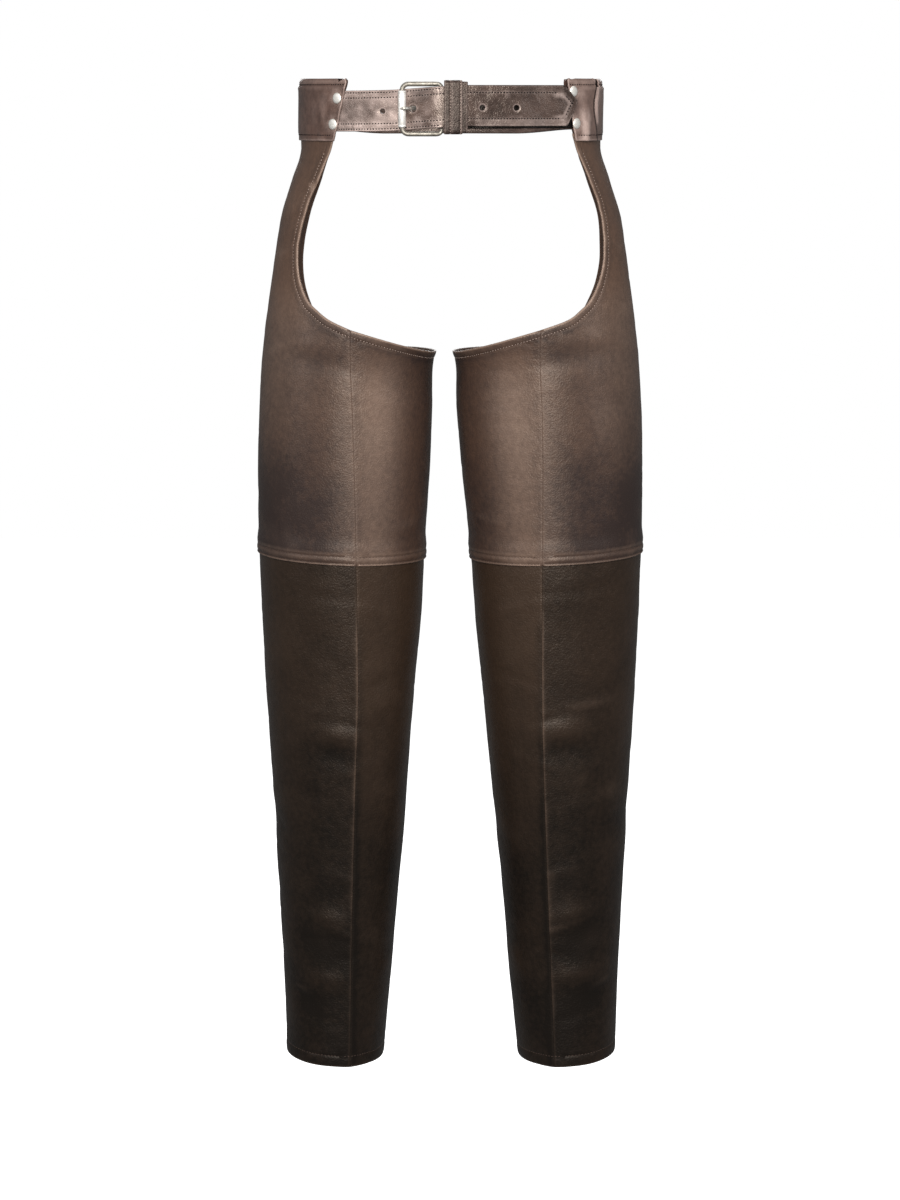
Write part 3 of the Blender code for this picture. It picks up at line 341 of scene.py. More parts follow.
def leg_surface(side, angle, z, lift=0.0):
    """Points and outward directions on the leg. Angle 0 is the outer side, 90 the front."""
    outer, inner = level(side, "outer", z), level(side, "inner", z)
    middle, half_width, turn = (outer + inner) / 2, (outer - inner) / 2, np.radians(angle)
    depth = np.where(np.sin(turn) >= 0, level(side, "front", z), level(side, "back", z))
    outward = unit(np.stack([np.cos(turn) / half_width, -np.sin(turn) / depth, np.zeros_like(turn)], 1))
    front_share, back_share = (
        np.clip(1.0 - abs(turn_from(angle, seam)) / RIDGE_SPREAD, 0.0, 1.0)**RIDGE_POWER
        for seam in (seam_angle(side, z), BACK_SEAM))
    rise = level(side, "ridge", z) * (front_share + BACK_RIDGE * back_share) + folds(side, z, angle, CREASES)
    oval = np.stack([middle + half_width * np.cos(turn),
                     level(side, "middle", z) - depth * np.sin(turn), z], 1)
    placed = oval + outward * (rise + lift)[:, None]
    return placed * (side, 1.0, 1.0), outward * (side, 1.0, 1.0)


# How a panel is laid out
# A panel is drawn flat, as its maker cuts it: an outline of named edges, a mesh that is fine along them, and
# one rule for where each point of the flat cut comes to lie. Each edge is finished in its own way.
ROUNDED = 0.0009  # distance over which a rim rounds off
UNDERSIDE_WEAR = 0.3  # of the wear on the outer face
NUDGE = 0.0005  # a short step, to measure how a rule stretches the flat cut
HOLE_SIDES = 24
KEPT_SHARE = 0.93  # of its distance to the edge; a mesh point that comes nearer to any edge is dropped
ROW_SHARE, MARGIN_SHARE = 0.87, 0.45  # of the spacing: between the grid's rows, and clear of the edge's rows
STITCH_IN = 0.0076  # a turned edge's stitch row, from the fold
EDGE_STEPS = {
    "turned": (0.0004, 0.0010, 0.0024, 0.0044, 0.0062, 0.0070, 0.0076, 0.0082, 0.0092, 0.0112),
    "seam": (0.0005, 0.0011, 0.0019, 0.0032, 0.0052),
    "lap": (0.0004, 0.0010, 0.0018, 0.0024, 0.0032, 0.0050, 0.0072, 0.0088, 0.0095, 0.0103, 0.0122, 0.0150),
    "hem": (0.0004, 0.0010, 0.0026, 0.0060, 0.0095, 0.0116, 0.0123, 0.0130, 0.0142, 0.0165),
    "cut": (0.0006,),
    "strap": (0.0004, 0.0010, 0.0018, 0.0023, 0.0028, 0.0042, 0.0066, 0.0073, 0.0080, 0.0096),
    "hole": (0.0003, 0.0007, 0.0012, 0.0018, 0.0026, 0.0038),
}


def distance_to(points, line):
    """Distance of each point from a line of points."""
    nearest = np.full(len(points), np.inf)
    starts, runs = line[:-1], np.diff(line, axis=0)
    lengths = np.maximum((runs**2).sum(1), 1e-14)
    for first in range(0, len(points), 3000):
        block = points[first:first + 3000]
        across = block[:, None, :] - starts[None]
        share = np.clip((across * runs).sum(2) / lengths, 0.0, 1.0)
        away = across - share[..., None] * runs
        nearest[first:first + 3000] = np.sqrt((away**2).sum(2).min(1))
    return nearest


def inside(points, ring):
    """Whether each flat point lies inside the closed ring."""
    x, y = points[:, :1], points[:, 1:]
    x0, y0 = ring[:, 0], ring[:, 1]
    x1, y1 = np.roll(x0, -1), np.roll(y0, -1)
    crosses = (y0 > y) != (y1 > y)
    with np.errstate(divide="ignore", invalid="ignore"):
        at = (x1 - x0) * (y - y0) / (y1 - y0) + x0
    return (crosses & (x < at)).sum(1) % 2 == 1


def lengths_along(line):
    """Distance along a line of points, at each of them."""
    return np.concatenate([[0.0], np.cumsum(np.linalg.norm(np.diff(line, axis=0), axis=1))])


def spaced(line, step):
    """The same line with points an even step apart."""
    line = np.asarray(line, float)
    along = lengths_along(line)
    stops = np.linspace(0.0, along[-1], max(2, round(along[-1] / step) + 1))
    return np.stack([np.interp(stops, along, line[:, i]) for i in range(line.shape[1])], 1)


def inward_line(line, place, distance, inner_side):
    """A flat edge moved in by a real distance on the leather."""
    run = np.gradient(line, axis=0)
    run /= np.maximum(np.linalg.norm(run, axis=1), 1e-12)[:, None]
    normal = np.stack([-run[:, 1], run[:, 0]], 1) * inner_side
    stretch = np.linalg.norm(place(line + normal * NUDGE)[0] - place(line)[0], axis=1) / NUDGE
    return line + normal * (distance / np.maximum(stretch, 0.2))[:, None]


class Panel:
    """A flat cut: edges as (kind, line of flat points) in order round it, holes as (centre, radius)."""

    def __init__(self, edges, place, step=0.0032, spacing=0.0048, holes=()):
        self.place = place
        self.edges = [(kind, spaced(line, step)) for kind, line in edges]
        ring = np.concatenate([line[:-1] for kind, line in self.edges])
        area = (ring[:, 0] * np.roll(ring[:, 1], -1) - np.roll(ring[:, 0], -1) * ring[:, 1]).sum()
        self.inner_side = 1.0 if area > 0 else -1.0
        circle = np.linspace(0.0, 2 * math.pi, HOLE_SIDES + 1)
        round_line = np.stack([np.cos(circle), np.sin(circle)], 1)
        self.holes = [np.array(centre) + round_line * radius for centre, radius in holes]
        lines = self.edges + [("hole", line) for line in self.holes]
        flat, links = [], []
        for loop in [ring] + [line[:-1] for line in self.holes]:
            first = sum(len(part) for part in flat)
            links += [(first + i, first + (i + 1) % len(loop)) for i in range(len(loop))]
            flat.append(loop)
        fine = []
        for kind, line in lines:
            for distance in EDGE_STEPS[kind]:
                side = -1.0 if kind == "hole" else self.inner_side
                moved = inward_line(line, place, distance, side)
                real = place(moved)[0]
                clear = np.min([distance_to(real, place(other)[0]) for _, other in lines], axis=0)
                fine.append(moved[clear > distance * KEPT_SHARE])
        low, high = ring.min(0), ring.max(0)
        rows = np.arange(low[1], high[1], spacing * ROW_SHARE)
        grid = np.array([(x + spacing / 2 * (i % 2), y) for i, y in enumerate(rows)
                         for x in np.arange(low[0], high[0], spacing)])
        grid = grid[inside(grid, ring)]
        real = place(grid)[0]
        for kind, line in lines:
            clear = distance_to(real, place(line)[0]) > EDGE_STEPS[kind][-1] + spacing * MARGIN_SHARE
            grid, real = grid[clear], real[clear]
        flat = np.concatenate(flat + fine + [grid])
        result = delaunay_2d_cdt([Vector(point) for point in flat], links, [], 0, 1e-7)
        self.flat = np.array([tuple(point) for point in result[0]])
        corners = np.array([tuple(face) for face in result[2] if len(face) == 3])
        middles = self.flat[corners].mean(1)
        keep = inside(middles, ring)
        for line in self.holes:
            keep &= ~inside(middles, line[:-1])
        self.faces = corners[keep]
        self.points, self.outward = place(self.flat)
        self.distance = {}
        for kind, line in lines:
            away = distance_to(self.points, place(line)[0])
            self.distance[kind] = np.minimum(self.distance.get(kind, np.inf), away)

    def away(self, kind):
        """Distance of each point from the edges of one kind."""
        return self.distance.get(kind, np.full(len(self.flat), 1.0))

    def on_leather(self, flat, rise):
        """Points that far above the finished leather, with outward directions."""
        points, outward = self.place(flat)
        near = [np.argmin(((self.points - point)**2).sum(1)) for point in points]
        return points + outward * (self.rise[near] + rise)[:, None], outward

    def row(self, which, distance, rise, skip=(0, 0)):
        """A stitch row at a distance inside one edge."""
        line = self.edges[which][1]
        moved = inward_line(line, self.place, distance, self.inner_side)
        return self.on_leather(moved[skip[0]:len(moved) - skip[1]], rise)


def rounded(distance):
    """0 at a rim, 1 where the leather has its full thickness."""
    t = np.clip(distance / ROUNDED, 0.0, 1.0)
    return np.sqrt(1.0 - (1.0 - t)**2)


def groove(distance, middle, half_width=0.0007):
    return np.exp(-((distance - middle) / half_width)**2)


def paint(mesh, key, values):
    layer = mesh.attributes.new(key, "FLOAT", "POINT")
    layer.data.foreach_set("value", values.astype(np.float32))


def shell(name, panel, rise, wall, tone, wear, material):
    """The panel as a closed sheet: rise moves its outer face, wall is its thickness at each point."""
    count = len(panel.flat)
    panel.rise = rise
    top = panel.points + panel.outward * rise[:, None]
    under = top - panel.outward * np.reshape(wall, (-1, 1))
    faces = panel.faces
    corners = top[faces]
    facing = np.cross(corners[:, 1] - corners[:, 0], corners[:, 2] - corners[:, 0])
    flip = (facing * panel.outward[faces[:, 0]]).sum(1) < 0
    faces = np.where(flip[:, None], faces[:, ::-1], faces)
    sides = np.concatenate([faces[:, [0, 1]], faces[:, [1, 2]], faces[:, [2, 0]]])
    known = {(int(a), int(b)) for a, b in sides}
    rim = [(a, b) for a, b in known if (b, a) not in known]
    quads = [(b, a, a + count, b + count) for a, b in rim]
    mesh = bpy.data.meshes.new(name)
    polygons = faces.tolist() + (faces[:, ::-1] + count).tolist() + quads
    mesh.from_pydata(np.concatenate([top, under]).tolist(), [], polygons)
    mesh.shade_smooth()
    paint(mesh, "tone", np.concatenate([tone, tone]))
    paint(mesh, "wear", np.concatenate([wear, wear * UNDERSIDE_WEAR]))
    mesh.materials.append(material)
    return add_object(name, mesh)


def finish(piece, slot, *nodes):
    """Ties a finished piece to the part and hides the CAD nodes that it stands for."""
    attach(piece, "root")
    if nodes:
        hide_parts(*nodes)
    return piece


# Thread
# Waxed polyester thread, a shade off the leather. Each stitch is a short rounded bar sunk in its groove. One
# node group walks the rows and lays a stitch at every pitch.
STITCH_SIZES = {  # pitch, length and thickness
    "seam": (0.0036, 0.0027, 0.0007), "edge": (0.0033, 0.0019, 0.0008), "tab": (0.0031, 0.0021, 0.0013),
    "belt": (0.0031, 0.0021, 0.0015), "strap": (0.0030, 0.0019, 0.0008), "keeper": (0.0029, 0.0017, 0.0008),
}


def thread_material(name, colour):
    made, tree, shader = start_material(name, Roughness=0.75, Specular_IOR_Level=0.15)
    where = node_of(tree, "ShaderNodeTexCoord").outputs["Object"]
    strands = node_of(tree, "ShaderNodeTexNoise", Vector=where, Scale=900.0, Detail=2.0)
    ramp = node_of(tree, "ShaderNodeValToRGB", Fac=strands.outputs["Fac"])
    for stop, light in zip(ramp.color_ramp.elements, (0.6, 1.35)):
        stop.color = (*[c * light for c in colour], 1.0)
    fill(tree, shader.inputs["Base Color"], ramp.outputs["Color"])
    return made


DARK_THREAD = thread_material("dark_thread", (0.006, 0.004, 0.004))
BROWN_THREAD = thread_material("brown_thread", (0.075, 0.050, 0.040))
PALE_THREAD = thread_material("pale_thread", (0.360, 0.275, 0.235))


def stitch_group():
    """Rows of edges in, stitches out. Inputs: pitch, length, thickness and material."""
    group = bpy.data.node_groups.new("stitches", "GeometryNodeTree")
    face = group.interface
    face.new_socket("Rows", in_out="INPUT", socket_type="NodeSocketGeometry")
    for name in ("Pitch", "Length", "Thickness"):
        face.new_socket(name, in_out="INPUT", socket_type="NodeSocketFloat")
    face.new_socket("Thread", in_out="INPUT", socket_type="NodeSocketMaterial")
    face.new_socket("Stitches", in_out="OUTPUT", socket_type="NodeSocketGeometry")

    def add(kind, settings=(), **sockets):
        return node_of(group, kind, settings, **sockets).outputs

    given = add("NodeGroupInput")
    curve = add("GeometryNodeMeshToCurve", Mesh=given["Rows"])["Curve"]
    walk = add("GeometryNodeResampleCurve", [("mode", "LENGTH")], Curve=curve, Length=given["Pitch"])["Curve"]
    tangent = add("GeometryNodeInputTangent")["Tangent"]
    reader = add("GeometryNodeInputNamedAttribute", [("data_type", "FLOAT_VECTOR")], Name="outward")
    along = add("FunctionNodeAlignRotationToVector", [("axis", "X")], Vector=tangent)["Rotation"]
    upright = add("FunctionNodeAlignRotationToVector", [("axis", "Z"), ("pivot_axis", "X")], Rotation=along,
                  Vector=reader["Attribute"])["Rotation"]
    bead = add("GeometryNodeMeshUVSphere", Segments=6, Rings=4, Radius=0.5)["Mesh"]
    thick = given["Thickness"]
    size = add("ShaderNodeCombineXYZ", X=given["Length"], Y=thick, Z=thick)["Vector"]
    shaped = add("GeometryNodeTransform", Geometry=bead, Scale=size)["Geometry"]
    laid = add("GeometryNodeInstanceOnPoints", Points=walk, Instance=shaped, Rotation=upright)["Instances"]
    real = add("GeometryNodeRealizeInstances", Geometry=laid)["Geometry"]
    coloured = add("GeometryNodeSetMaterial", Geometry=real, Material=given["Thread"])["Geometry"]
    add("NodeGroupOutput", Stitches=coloured)
    return group


STITCHES = stitch_group()


def sew(name, rows, thread, slot, size="seam"):
    """Stitches along rows, each a pair of points and outward directions."""
    points = np.concatenate([row[0] for row in rows])
    outward = np.concatenate([row[1] for row in rows])
    links, first = [], 0
    for row in rows:
        links += [(first + i, first + i + 1) for i in range(len(row[0]) - 1)]
        first += len(row[0])
    mesh = bpy.data.meshes.new(name + "_rows")
    mesh.from_pydata(points.tolist(), links, [])
    layer = mesh.attributes.new("outward", "FLOAT_VECTOR", "POINT")
    layer.data.foreach_set("vector", outward.astype(np.float32).ravel())
    rows_object = add_object(name + "_rows", mesh)
    walker = rows_object.modifiers.new("stitches", "NODES")
    walker.node_group = STITCHES
    values = dict(zip(("Pitch", "Length", "Thickness", "Thread"), (*STITCH_SIZES[size], thread)))
    for item in STITCHES.interface.items_tree:
        if item.in_out == "INPUT" and item.name in values:
            walker[item.identifier] = values[item.name]
    ready = rows_object.evaluated_get(bpy.context.evaluated_depsgraph_get())
    sewn_mesh = bpy.data.meshes.new_from_object(ready)
    rows_object.modifiers.remove(walker)
    bpy.data.objects.remove(rows_object, do_unlink=True)
    sewn_mesh.name = name
    sewn_mesh.shade_smooth()
    return finish(add_object(name, sewn_mesh), slot)


# Upper legs
# Two panels on each leg: the outer one rises in one piece to the waist as the hip strap, the inner one stops
# at the crotch. The free edges are turned in and stitched, the lower edge is turned in and lapped over the
# lower leg with two rows of stitches.
HIP_TOP, OPENING_FRONT, OPENING_INNER, OPENING_BACK = -0.0335, -0.2315, -0.2595, -0.2620
LAP_TOP, LAP_BOTTOM, LAP_INNER_DROP = -0.4600, -0.4715, 0.0070
LAP_LIFT_FROM, LAP_LIFT_OVER = -0.4435, 0.014  # where the upper leg starts to stand out, and over what height
LAP_RISE = WALL + GAP
TURNED_IN, TURNED_WALL = 0.0086, 0.0011  # width and thickness of what is turned in at the opening
TUCKED_FROM, TUCK = -0.052, 0.030  # where the hip strap lies flat for its tab, and how far down it is thinned
LAP_ROWS, HEM_ROW = (0.0024, 0.0095), 0.0123  # stitch rows, from the edge
SUNK = 0.0001  # middle of a leg's stitches above the floor of their groove
OPENING_COLUMNS = ("z_front", "z_back", "front_l", "front_r", "back_l", "back_r")
OPENING = (
    (HIP_TOP, HIP_TOP, 0.1160, 0.1240, 0.1275, 0.1330),
    (-0.044, -0.044, 0.1195, 0.1272, 0.1283, 0.1340),
    (-0.061, -0.064, 0.1260, 0.1340, 0.1314, 0.1388),
    (-0.080, -0.084, 0.1340, 0.1425, 0.1376, 0.1460),
    (-0.101, -0.105, 0.1435, 0.1510, 0.1452, 0.1536),
    (-0.121, -0.126, 0.1500, 0.1560, 0.1512, 0.1587),
    (-0.142, -0.148, 0.1550, 0.1580, 0.1558, 0.1602),
    (-0.162, -0.169, 0.1565, 0.1580, 0.1578, 0.1602),
    (-0.182, -0.192, 0.1542, 0.1535, 0.1564, 0.1562),
    (-0.202, -0.215, 0.1462, 0.1438, 0.1500, 0.1472),
    (-0.2115, -0.231, 0.1370, 0.1345, 0.1420, 0.1390),
    (-0.2215, -0.247, 0.1238, 0.1210, 0.1270, 0.1220),
)
FLAT_RADIUS = 0.085  # turns an angle into a width on the flat cut
SEAM_TUCK = 0.00008  # how far each panel reaches past a seam, so that no light comes through it
# Depths and heights of the finish, all on the outer face
SOFT_RIPPLE, FINE_RIPPLE, WRINKLE = 0.00055, 0.00028, 0.00045
EDGE_PAD, LAP_PAD, HEM_PAD = 0.00055, 0.00050, 0.00030  # swell of the leather between a fold and its stitches
STITCH_DIP, SEAM_DIP, LOW_SEAM_DIP = 0.00055, 0.00022, 0.00030
# Lines lightened along edges, partly rubbed and partly painted highlight: edge, distance from it, half width,
# strength
RUBBED_AND_HIGHLIT_LINES = (
    ("turned", 0.0007, 0.0008, 0.70), ("lap", 0.0012, 0.0007, 0.34), ("hem", 0.0008, 0.0009, 0.25),
    ("seam", 0.0012, 0.0012, 0.05), ("lap", 0.0080, 0.0010, 0.14), ("lap", 0.0120, 0.0014, 0.14),
)
# Tone of the thigh round the leg, with painted shade on the sides turned from the lamps, and strength of the
# painted highlight on its front down the leg
THIGH_SHADED_TONES = ((-90.0, 0.24), (30.0, 0.24), (88.0, 0.32), (112.0, 0.48), (150.0, 0.36), (190.0, 0.25),
               (270.0, 0.24))
THIGH_HIGHLIGHT_HEIGHTS = ((-0.475, 0.60), (-0.430, 0.56), (-0.385, 0.70), (-0.335, 1.0), (-0.300, 0.90),
                  (-0.255, 0.15))
THIGH_HIGHLIGHT_MIDDLE, THIGH_HIGHLIGHT_HALF, THIGH_HIGHLIGHT_STRENGTH = 113.0, 16.5, 0.44


def to_flat(angle, z):
    return np.stack([np.radians(angle) * FLAT_RADIUS, np.broadcast_to(z, np.shape(angle))], 1)


def inner_share(angle):
    """0 on the outer side of a leg, 1 on its inner side."""
    return (1 - np.cos(np.radians(angle))) / 2


def lap_drop(angle):
    """The cross seam falls a little towards the inner side."""
    return LAP_INNER_DROP * inner_share(angle)


def upper_lift(angle, z):
    return LAP_RISE * smooth_step((LAP_LIFT_FROM - z - lap_drop(angle)) / LAP_LIFT_OVER)


def lap_edge(front_end, back_end):
    """Flat line of the upper leg's lower edge between the ends of its seams."""
    x = np.linspace(front_end[0], back_end[0], 80)
    line = np.stack([x, LAP_BOTTOM - lap_drop(np.degrees(x / FLAT_RADIUS))], 1)
    line[0], line[-1] = front_end, back_end
    return line


def upper_place(side):
    def place(flat):
        angle, z = np.degrees(flat[:, 0] / FLAT_RADIUS), flat[:, 1]
        return leg_surface(side, angle, z, upper_lift(angle, z))
    return place


def seam_line(side, z_from, z_to, inner):
    """Flat edge of one panel at the front seam."""
    z = np.linspace(z_from, z_to, 120)
    return to_flat(seam_angle(side, z) + math.degrees(SEAM_TUCK / FLAT_RADIUS) * (-1 if inner else 1), z)


def back_line(z_from, z_to, inner):
    """Flat edge of one panel at the back seam. The outer panel reaches it from the other way round."""
    z = np.linspace(z_from, z_to, 120)
    tuck = math.degrees(SEAM_TUCK / FLAT_RADIUS)
    angle = BACK_SEAM + tuck if inner else BACK_SEAM - 360 - tuck
    return to_flat(np.full_like(z, angle), z)


def angle_of_seam(side, z):
    return float(seam_angle(side, np.array([z]))[0])


def opening_edge(side, back):
    """Flat line of the opening's edge on the outer panel, from the top of the hip strap to the seam."""
    letter = "_l" if side < 0 else "_r"
    which = OPENING_COLUMNS.index(("back" if back else "front") + letter)
    rows = [(row[1 if back else 0], row[which]) for row in OPENING]
    z, reach = np.array(rows).T
    angle = angle_at(side, z, reach) * (-1 if back else 1)
    if back:
        end = (BACK_SEAM - 360, OPENING_BACK)
    else:
        end = (angle_of_seam(side, OPENING_FRONT), OPENING_FRONT)
    table = [(i, a, h) for i, (a, h) in enumerate(zip([*angle, end[0]], [*z, end[1]]))]
    t = np.linspace(0, len(table) - 1, 160)
    return to_flat(curve_value(table, 1, t), curve_value(table, 2, t))


def opening_height(side, angle):
    seam = angle_of_seam(side, OPENING_FRONT)
    share = np.sin(np.radians(90.0 * np.clip((angle - seam) / (180.0 - seam), 0.0, 1.0)))
    front = OPENING_FRONT + (OPENING_INNER - OPENING_FRONT) * share
    back = OPENING_INNER + (OPENING_BACK - OPENING_INNER) * (angle - 180.0) / 90.0
    return np.where(angle <= 180.0, front, back)


def leather_relief(panel, side):
    """Soft unevenness, fine folds and the finish of every edge, as a rise of the outer face."""
    angle, z = np.degrees(panel.flat[:, 0] / FLAT_RADIUS), panel.flat[:, 1]
    calm = smooth_step(np.minimum(panel.away("seam"), panel.away("turned")) / 0.02)
    ripple = SOFT_RIPPLE * unevenness(panel.points, 0.055)
    ripple += FINE_RIPPLE * unevenness(panel.points + 3.0, 0.024)
    lines = 1.0 - np.abs(unevenness(panel.points * (1.0, 1.0, 1.9) + 7.0, 0.034))
    wrinkled = smooth_step(unevenness(panel.points + 1.5, 0.11) + 0.5)
    ripple -= WRINKLE * np.clip(lines - 0.78, 0.0, 1.0) / 0.22 * wrinkled
    rise = folds(side, z, angle, FINE_CREASES) + ripple * (0.35 + 0.65 * calm)
    turned, seam, lap, hem = (panel.away(kind) for kind in ("turned", "seam", "lap", "hem"))
    rise += -0.5 * WALL * (1.0 - rounded(np.minimum(np.minimum(turned, lap), hem)))
    rise += EDGE_PAD * np.sin(math.pi * np.clip(turned / STITCH_IN, 0.0, 1.0))**0.7
    rise -= STITCH_DIP * groove(turned, STITCH_IN)
    valley = SEAM_DIP + LOW_SEAM_DIP * smooth_step((-0.5 - z) / 0.1)
    rise -= valley * (1.0 - np.clip(seam / 0.0012, 0.0, 1.0))**1.5
    first, second = LAP_ROWS
    between = np.clip((lap - first) / (second - first), 0.0, 1.0)
    rise += LAP_PAD * (np.sin(math.pi * between) + groove(lap, first / 2, 0.0008))
    rise -= STITCH_DIP * (groove(lap, first, 0.0006) + groove(lap, second))
    rise += HEM_PAD * np.sin(math.pi * np.clip(hem / HEM_ROW, 0.0, 1.0))
    rise -= STITCH_DIP * groove(hem, HEM_ROW)
    return rise


def leather_wear(panel, relief):
    """Light on folds, rims and ridges: rubbed, and partly painted highlight."""
    wear = sum(strength * groove(panel.away(kind), distance, half_width)
               for kind, distance, half_width, strength in RUBBED_AND_HIGHLIT_LINES)
    wear += 0.25 * smooth_step(relief / 0.0012) * smooth_step(unevenness(panel.points + 9.0, 0.02) + 0.6)
    return np.clip(wear, 0.0, 1.0)


def painted_crease_shading(side, z, angle):
    """Painted shade in the troughs of the creases and painted light on their ridges."""
    return 0.16 * np.clip(folds(side, z, angle, CREASES) / 0.0020, -1.0, 1.0)


def painted_thigh_highlight(angle, z):
    """Painted highlight on the front of each thigh, strongest above the knee."""
    strength = THIGH_HIGHLIGHT_STRENGTH * np.interp(z, *zip(*THIGH_HIGHLIGHT_HEIGHTS))
    return strength * np.exp(-((angle - THIGH_HIGHLIGHT_MIDDLE) / THIGH_HIGHLIGHT_HALF)**2)


def thigh_tone(panel, side, angle, z):
    """Painted shade round the thigh: dark on the outer side, warmest inside the front seam, darker again
    further in. The turned edge of the opening is dark, and the leather just below it carries a painted
    shadow."""
    tone = np.interp(angle, *zip(*THIGH_SHADED_TONES)) + painted_crease_shading(side, z, angle)
    edge = panel.away("turned")
    # Painted shadow on the leather just below the turned band.
    return tone - 0.20 * groove(edge, 0.0045, 0.0028) - 0.24 * groove(edge, 0.0102, 0.0018)


def shaded_low(panel, z):
    """Painted shade: the thighs darken downwards, away from the lamps, less on the lap band and on the inner
    side.
    """
    band = 1.0 - smooth_step((panel.away("lap") - 0.0105) / 0.003)
    inward = smooth_step((np.degrees(panel.flat[:, 0] / FLAT_RADIUS) - 70.0) / 40.0)
    return 0.28 * smooth_step((-0.32 - z) / 0.10) * (1.0 - 0.7 * band) * (1.0 - 0.65 * inward)


def upper_wall(panel):
    edge = np.minimum(panel.away("turned"), panel.away("lap"))
    hidden = smooth_step((panel.flat[:, 1] - (HIP_TOP - TUCK)) / 0.012)
    turned_in = TURNED_WALL * (1.0 - smooth_step((panel.away("turned") - TURNED_IN) / 0.001)) * (1.0 - hidden)
    return (WALL + turned_in) * (0.2 + 0.8 * rounded(edge))


def hang_upper(part, side, panel, relief, tone, wear, edge_rows, lap_edge_at):
    """One upper panel with its edge stitches and the two rows of the lap."""
    name = f"upper_leg_{part}_{'left' if side < 0 else 'right'}"
    piece = shell(name + "_leather", panel, relief, upper_wall(panel), tone, wear, UPPER_LEATHER)
    finish(piece, "upper_leather", name)
    rows = [panel.row(edge, STITCH_IN, SUNK, skip) for edge, skip in edge_rows]
    edge_thread = sew(name + "_edge_stitches", rows, PALE_THREAD, "upper_leather", "edge")
    rows = [panel.row(lap_edge_at, distance, SUNK, (1, 1)) for distance in LAP_ROWS]
    thread = sew(name + "_stitches", rows, BROWN_THREAD, "upper_leather")


for side, label in ((-1, "left"), (1, "right")):
    place = upper_place(side)
    front_edge, back_edge = opening_edge(side, False), opening_edge(side, True)
    lap_front = LAP_BOTTOM - lap_drop(angle_of_seam(side, LAP_BOTTOM))
    lap_back = LAP_BOTTOM - lap_drop(BACK_SEAM)
    outer_front = seam_line(side, OPENING_FRONT, lap_front, False)
    outer_back = back_line(lap_back, OPENING_BACK, False)
    outer = Panel([
        ("turned", np.concatenate([front_edge[:-1], outer_front[:1]])),
        ("seam", outer_front),
        ("lap", lap_edge(outer_front[-1], outer_back[0])),
        ("seam", outer_back),
        ("turned", np.concatenate([outer_back[-1:], back_edge[-2::-1]])),
        ("cut", np.stack([back_edge[0], front_edge[0]])),
    ], place)
    relief = leather_relief(outer, side)
    angle, z = np.degrees(outer.flat[:, 0] / FLAT_RADIUS), outer.flat[:, 1]
    relief *= 1.0 - smooth_step((z - TUCKED_FROM) / 0.010)
    facing = smooth_step((np.abs(angle) - 30.0) / 60.0)
    tone = thigh_tone(outer, side, angle, z) + 0.44 * smooth_step((z + 0.25) / 0.08) - shaded_low(outer, z)
    # Painted light: the outer panel is lighter higher up, nearer the lamps, and again at the hip.
    painted_top_light = 0.22 * smooth_step((z + 0.42) / 0.17) * (1.0 - 0.85 * facing) * smooth_step((-0.17 - z) / 0.06)
    painted_top_light += 0.07 * smooth_step((z + 0.24) / 0.05)
    wear = leather_wear(outer, relief) + painted_thigh_highlight(angle, z) + painted_top_light
    hang_upper("outer", side, outer, relief, tone, wear, ((0, (7, 0)), (4, (0, 7))), 2)

    top_angles = np.linspace(angle_of_seam(side, OPENING_FRONT) + 0.1, BACK_SEAM - 0.1, 150)
    inner_front = seam_line(side, OPENING_FRONT, lap_front, True)
    inner_back = back_line(lap_back, OPENING_BACK, True)
    top_line = to_flat(top_angles, opening_height(side, top_angles))
    inner = Panel([
        ("seam", inner_front),
        ("lap", lap_edge(inner_front[-1], inner_back[0])),
        ("seam", inner_back),
        ("turned", np.concatenate([inner_back[-1:], top_line[-2:0:-1], inner_front[:1]])),
    ], place)
    relief = leather_relief(inner, side)
    angle, z = np.degrees(inner.flat[:, 0] / FLAT_RADIUS), inner.flat[:, 1]
    tone = thigh_tone(inner, side, angle, z) - shaded_low(inner, z)
    wear = leather_wear(inner, relief) + painted_thigh_highlight(angle, z)
    hang_upper("inner", side, inner, relief, tone, wear, ((3, (0, 0)),), 1)


# Lower legs
# Two panels on each leg, seamed at the front and back, with a turned hem held by one row of stitches. The
# front seam is folded over: its outer side stands up under a painted highlight, its inner side lies lower
# under painted shade.
HEM, HEM_INNER_DROP, HEM_TURN = -1.0238, 0.0046, 0.0145
DROP_FROM, DROP_OVER = -0.918, 0.09  # where the inner side starts to fall towards the hem
LAP_DROP_FROM = -0.505  # where the top end starts to follow the lap
UNDER_LAP_FROM = -0.4815  # where it lies flat, to go under it
SEAM_FOLD = {"outer": 0.0008, "inner": -0.0007}  # rise beside the front seam


def lower_place(side):
    def place(flat):
        angle, z = np.degrees(flat[:, 0] / FLAT_RADIUS), flat[:, 1]
        drop = HEM_INNER_DROP * inner_share(angle) * smooth_step((DROP_FROM - z) / DROP_OVER)
        drop += lap_drop(angle) * smooth_step((z - LAP_DROP_FROM) / (LAP_BOTTOM - LAP_DROP_FROM))
        return leg_surface(side, angle, z - drop)
    return place


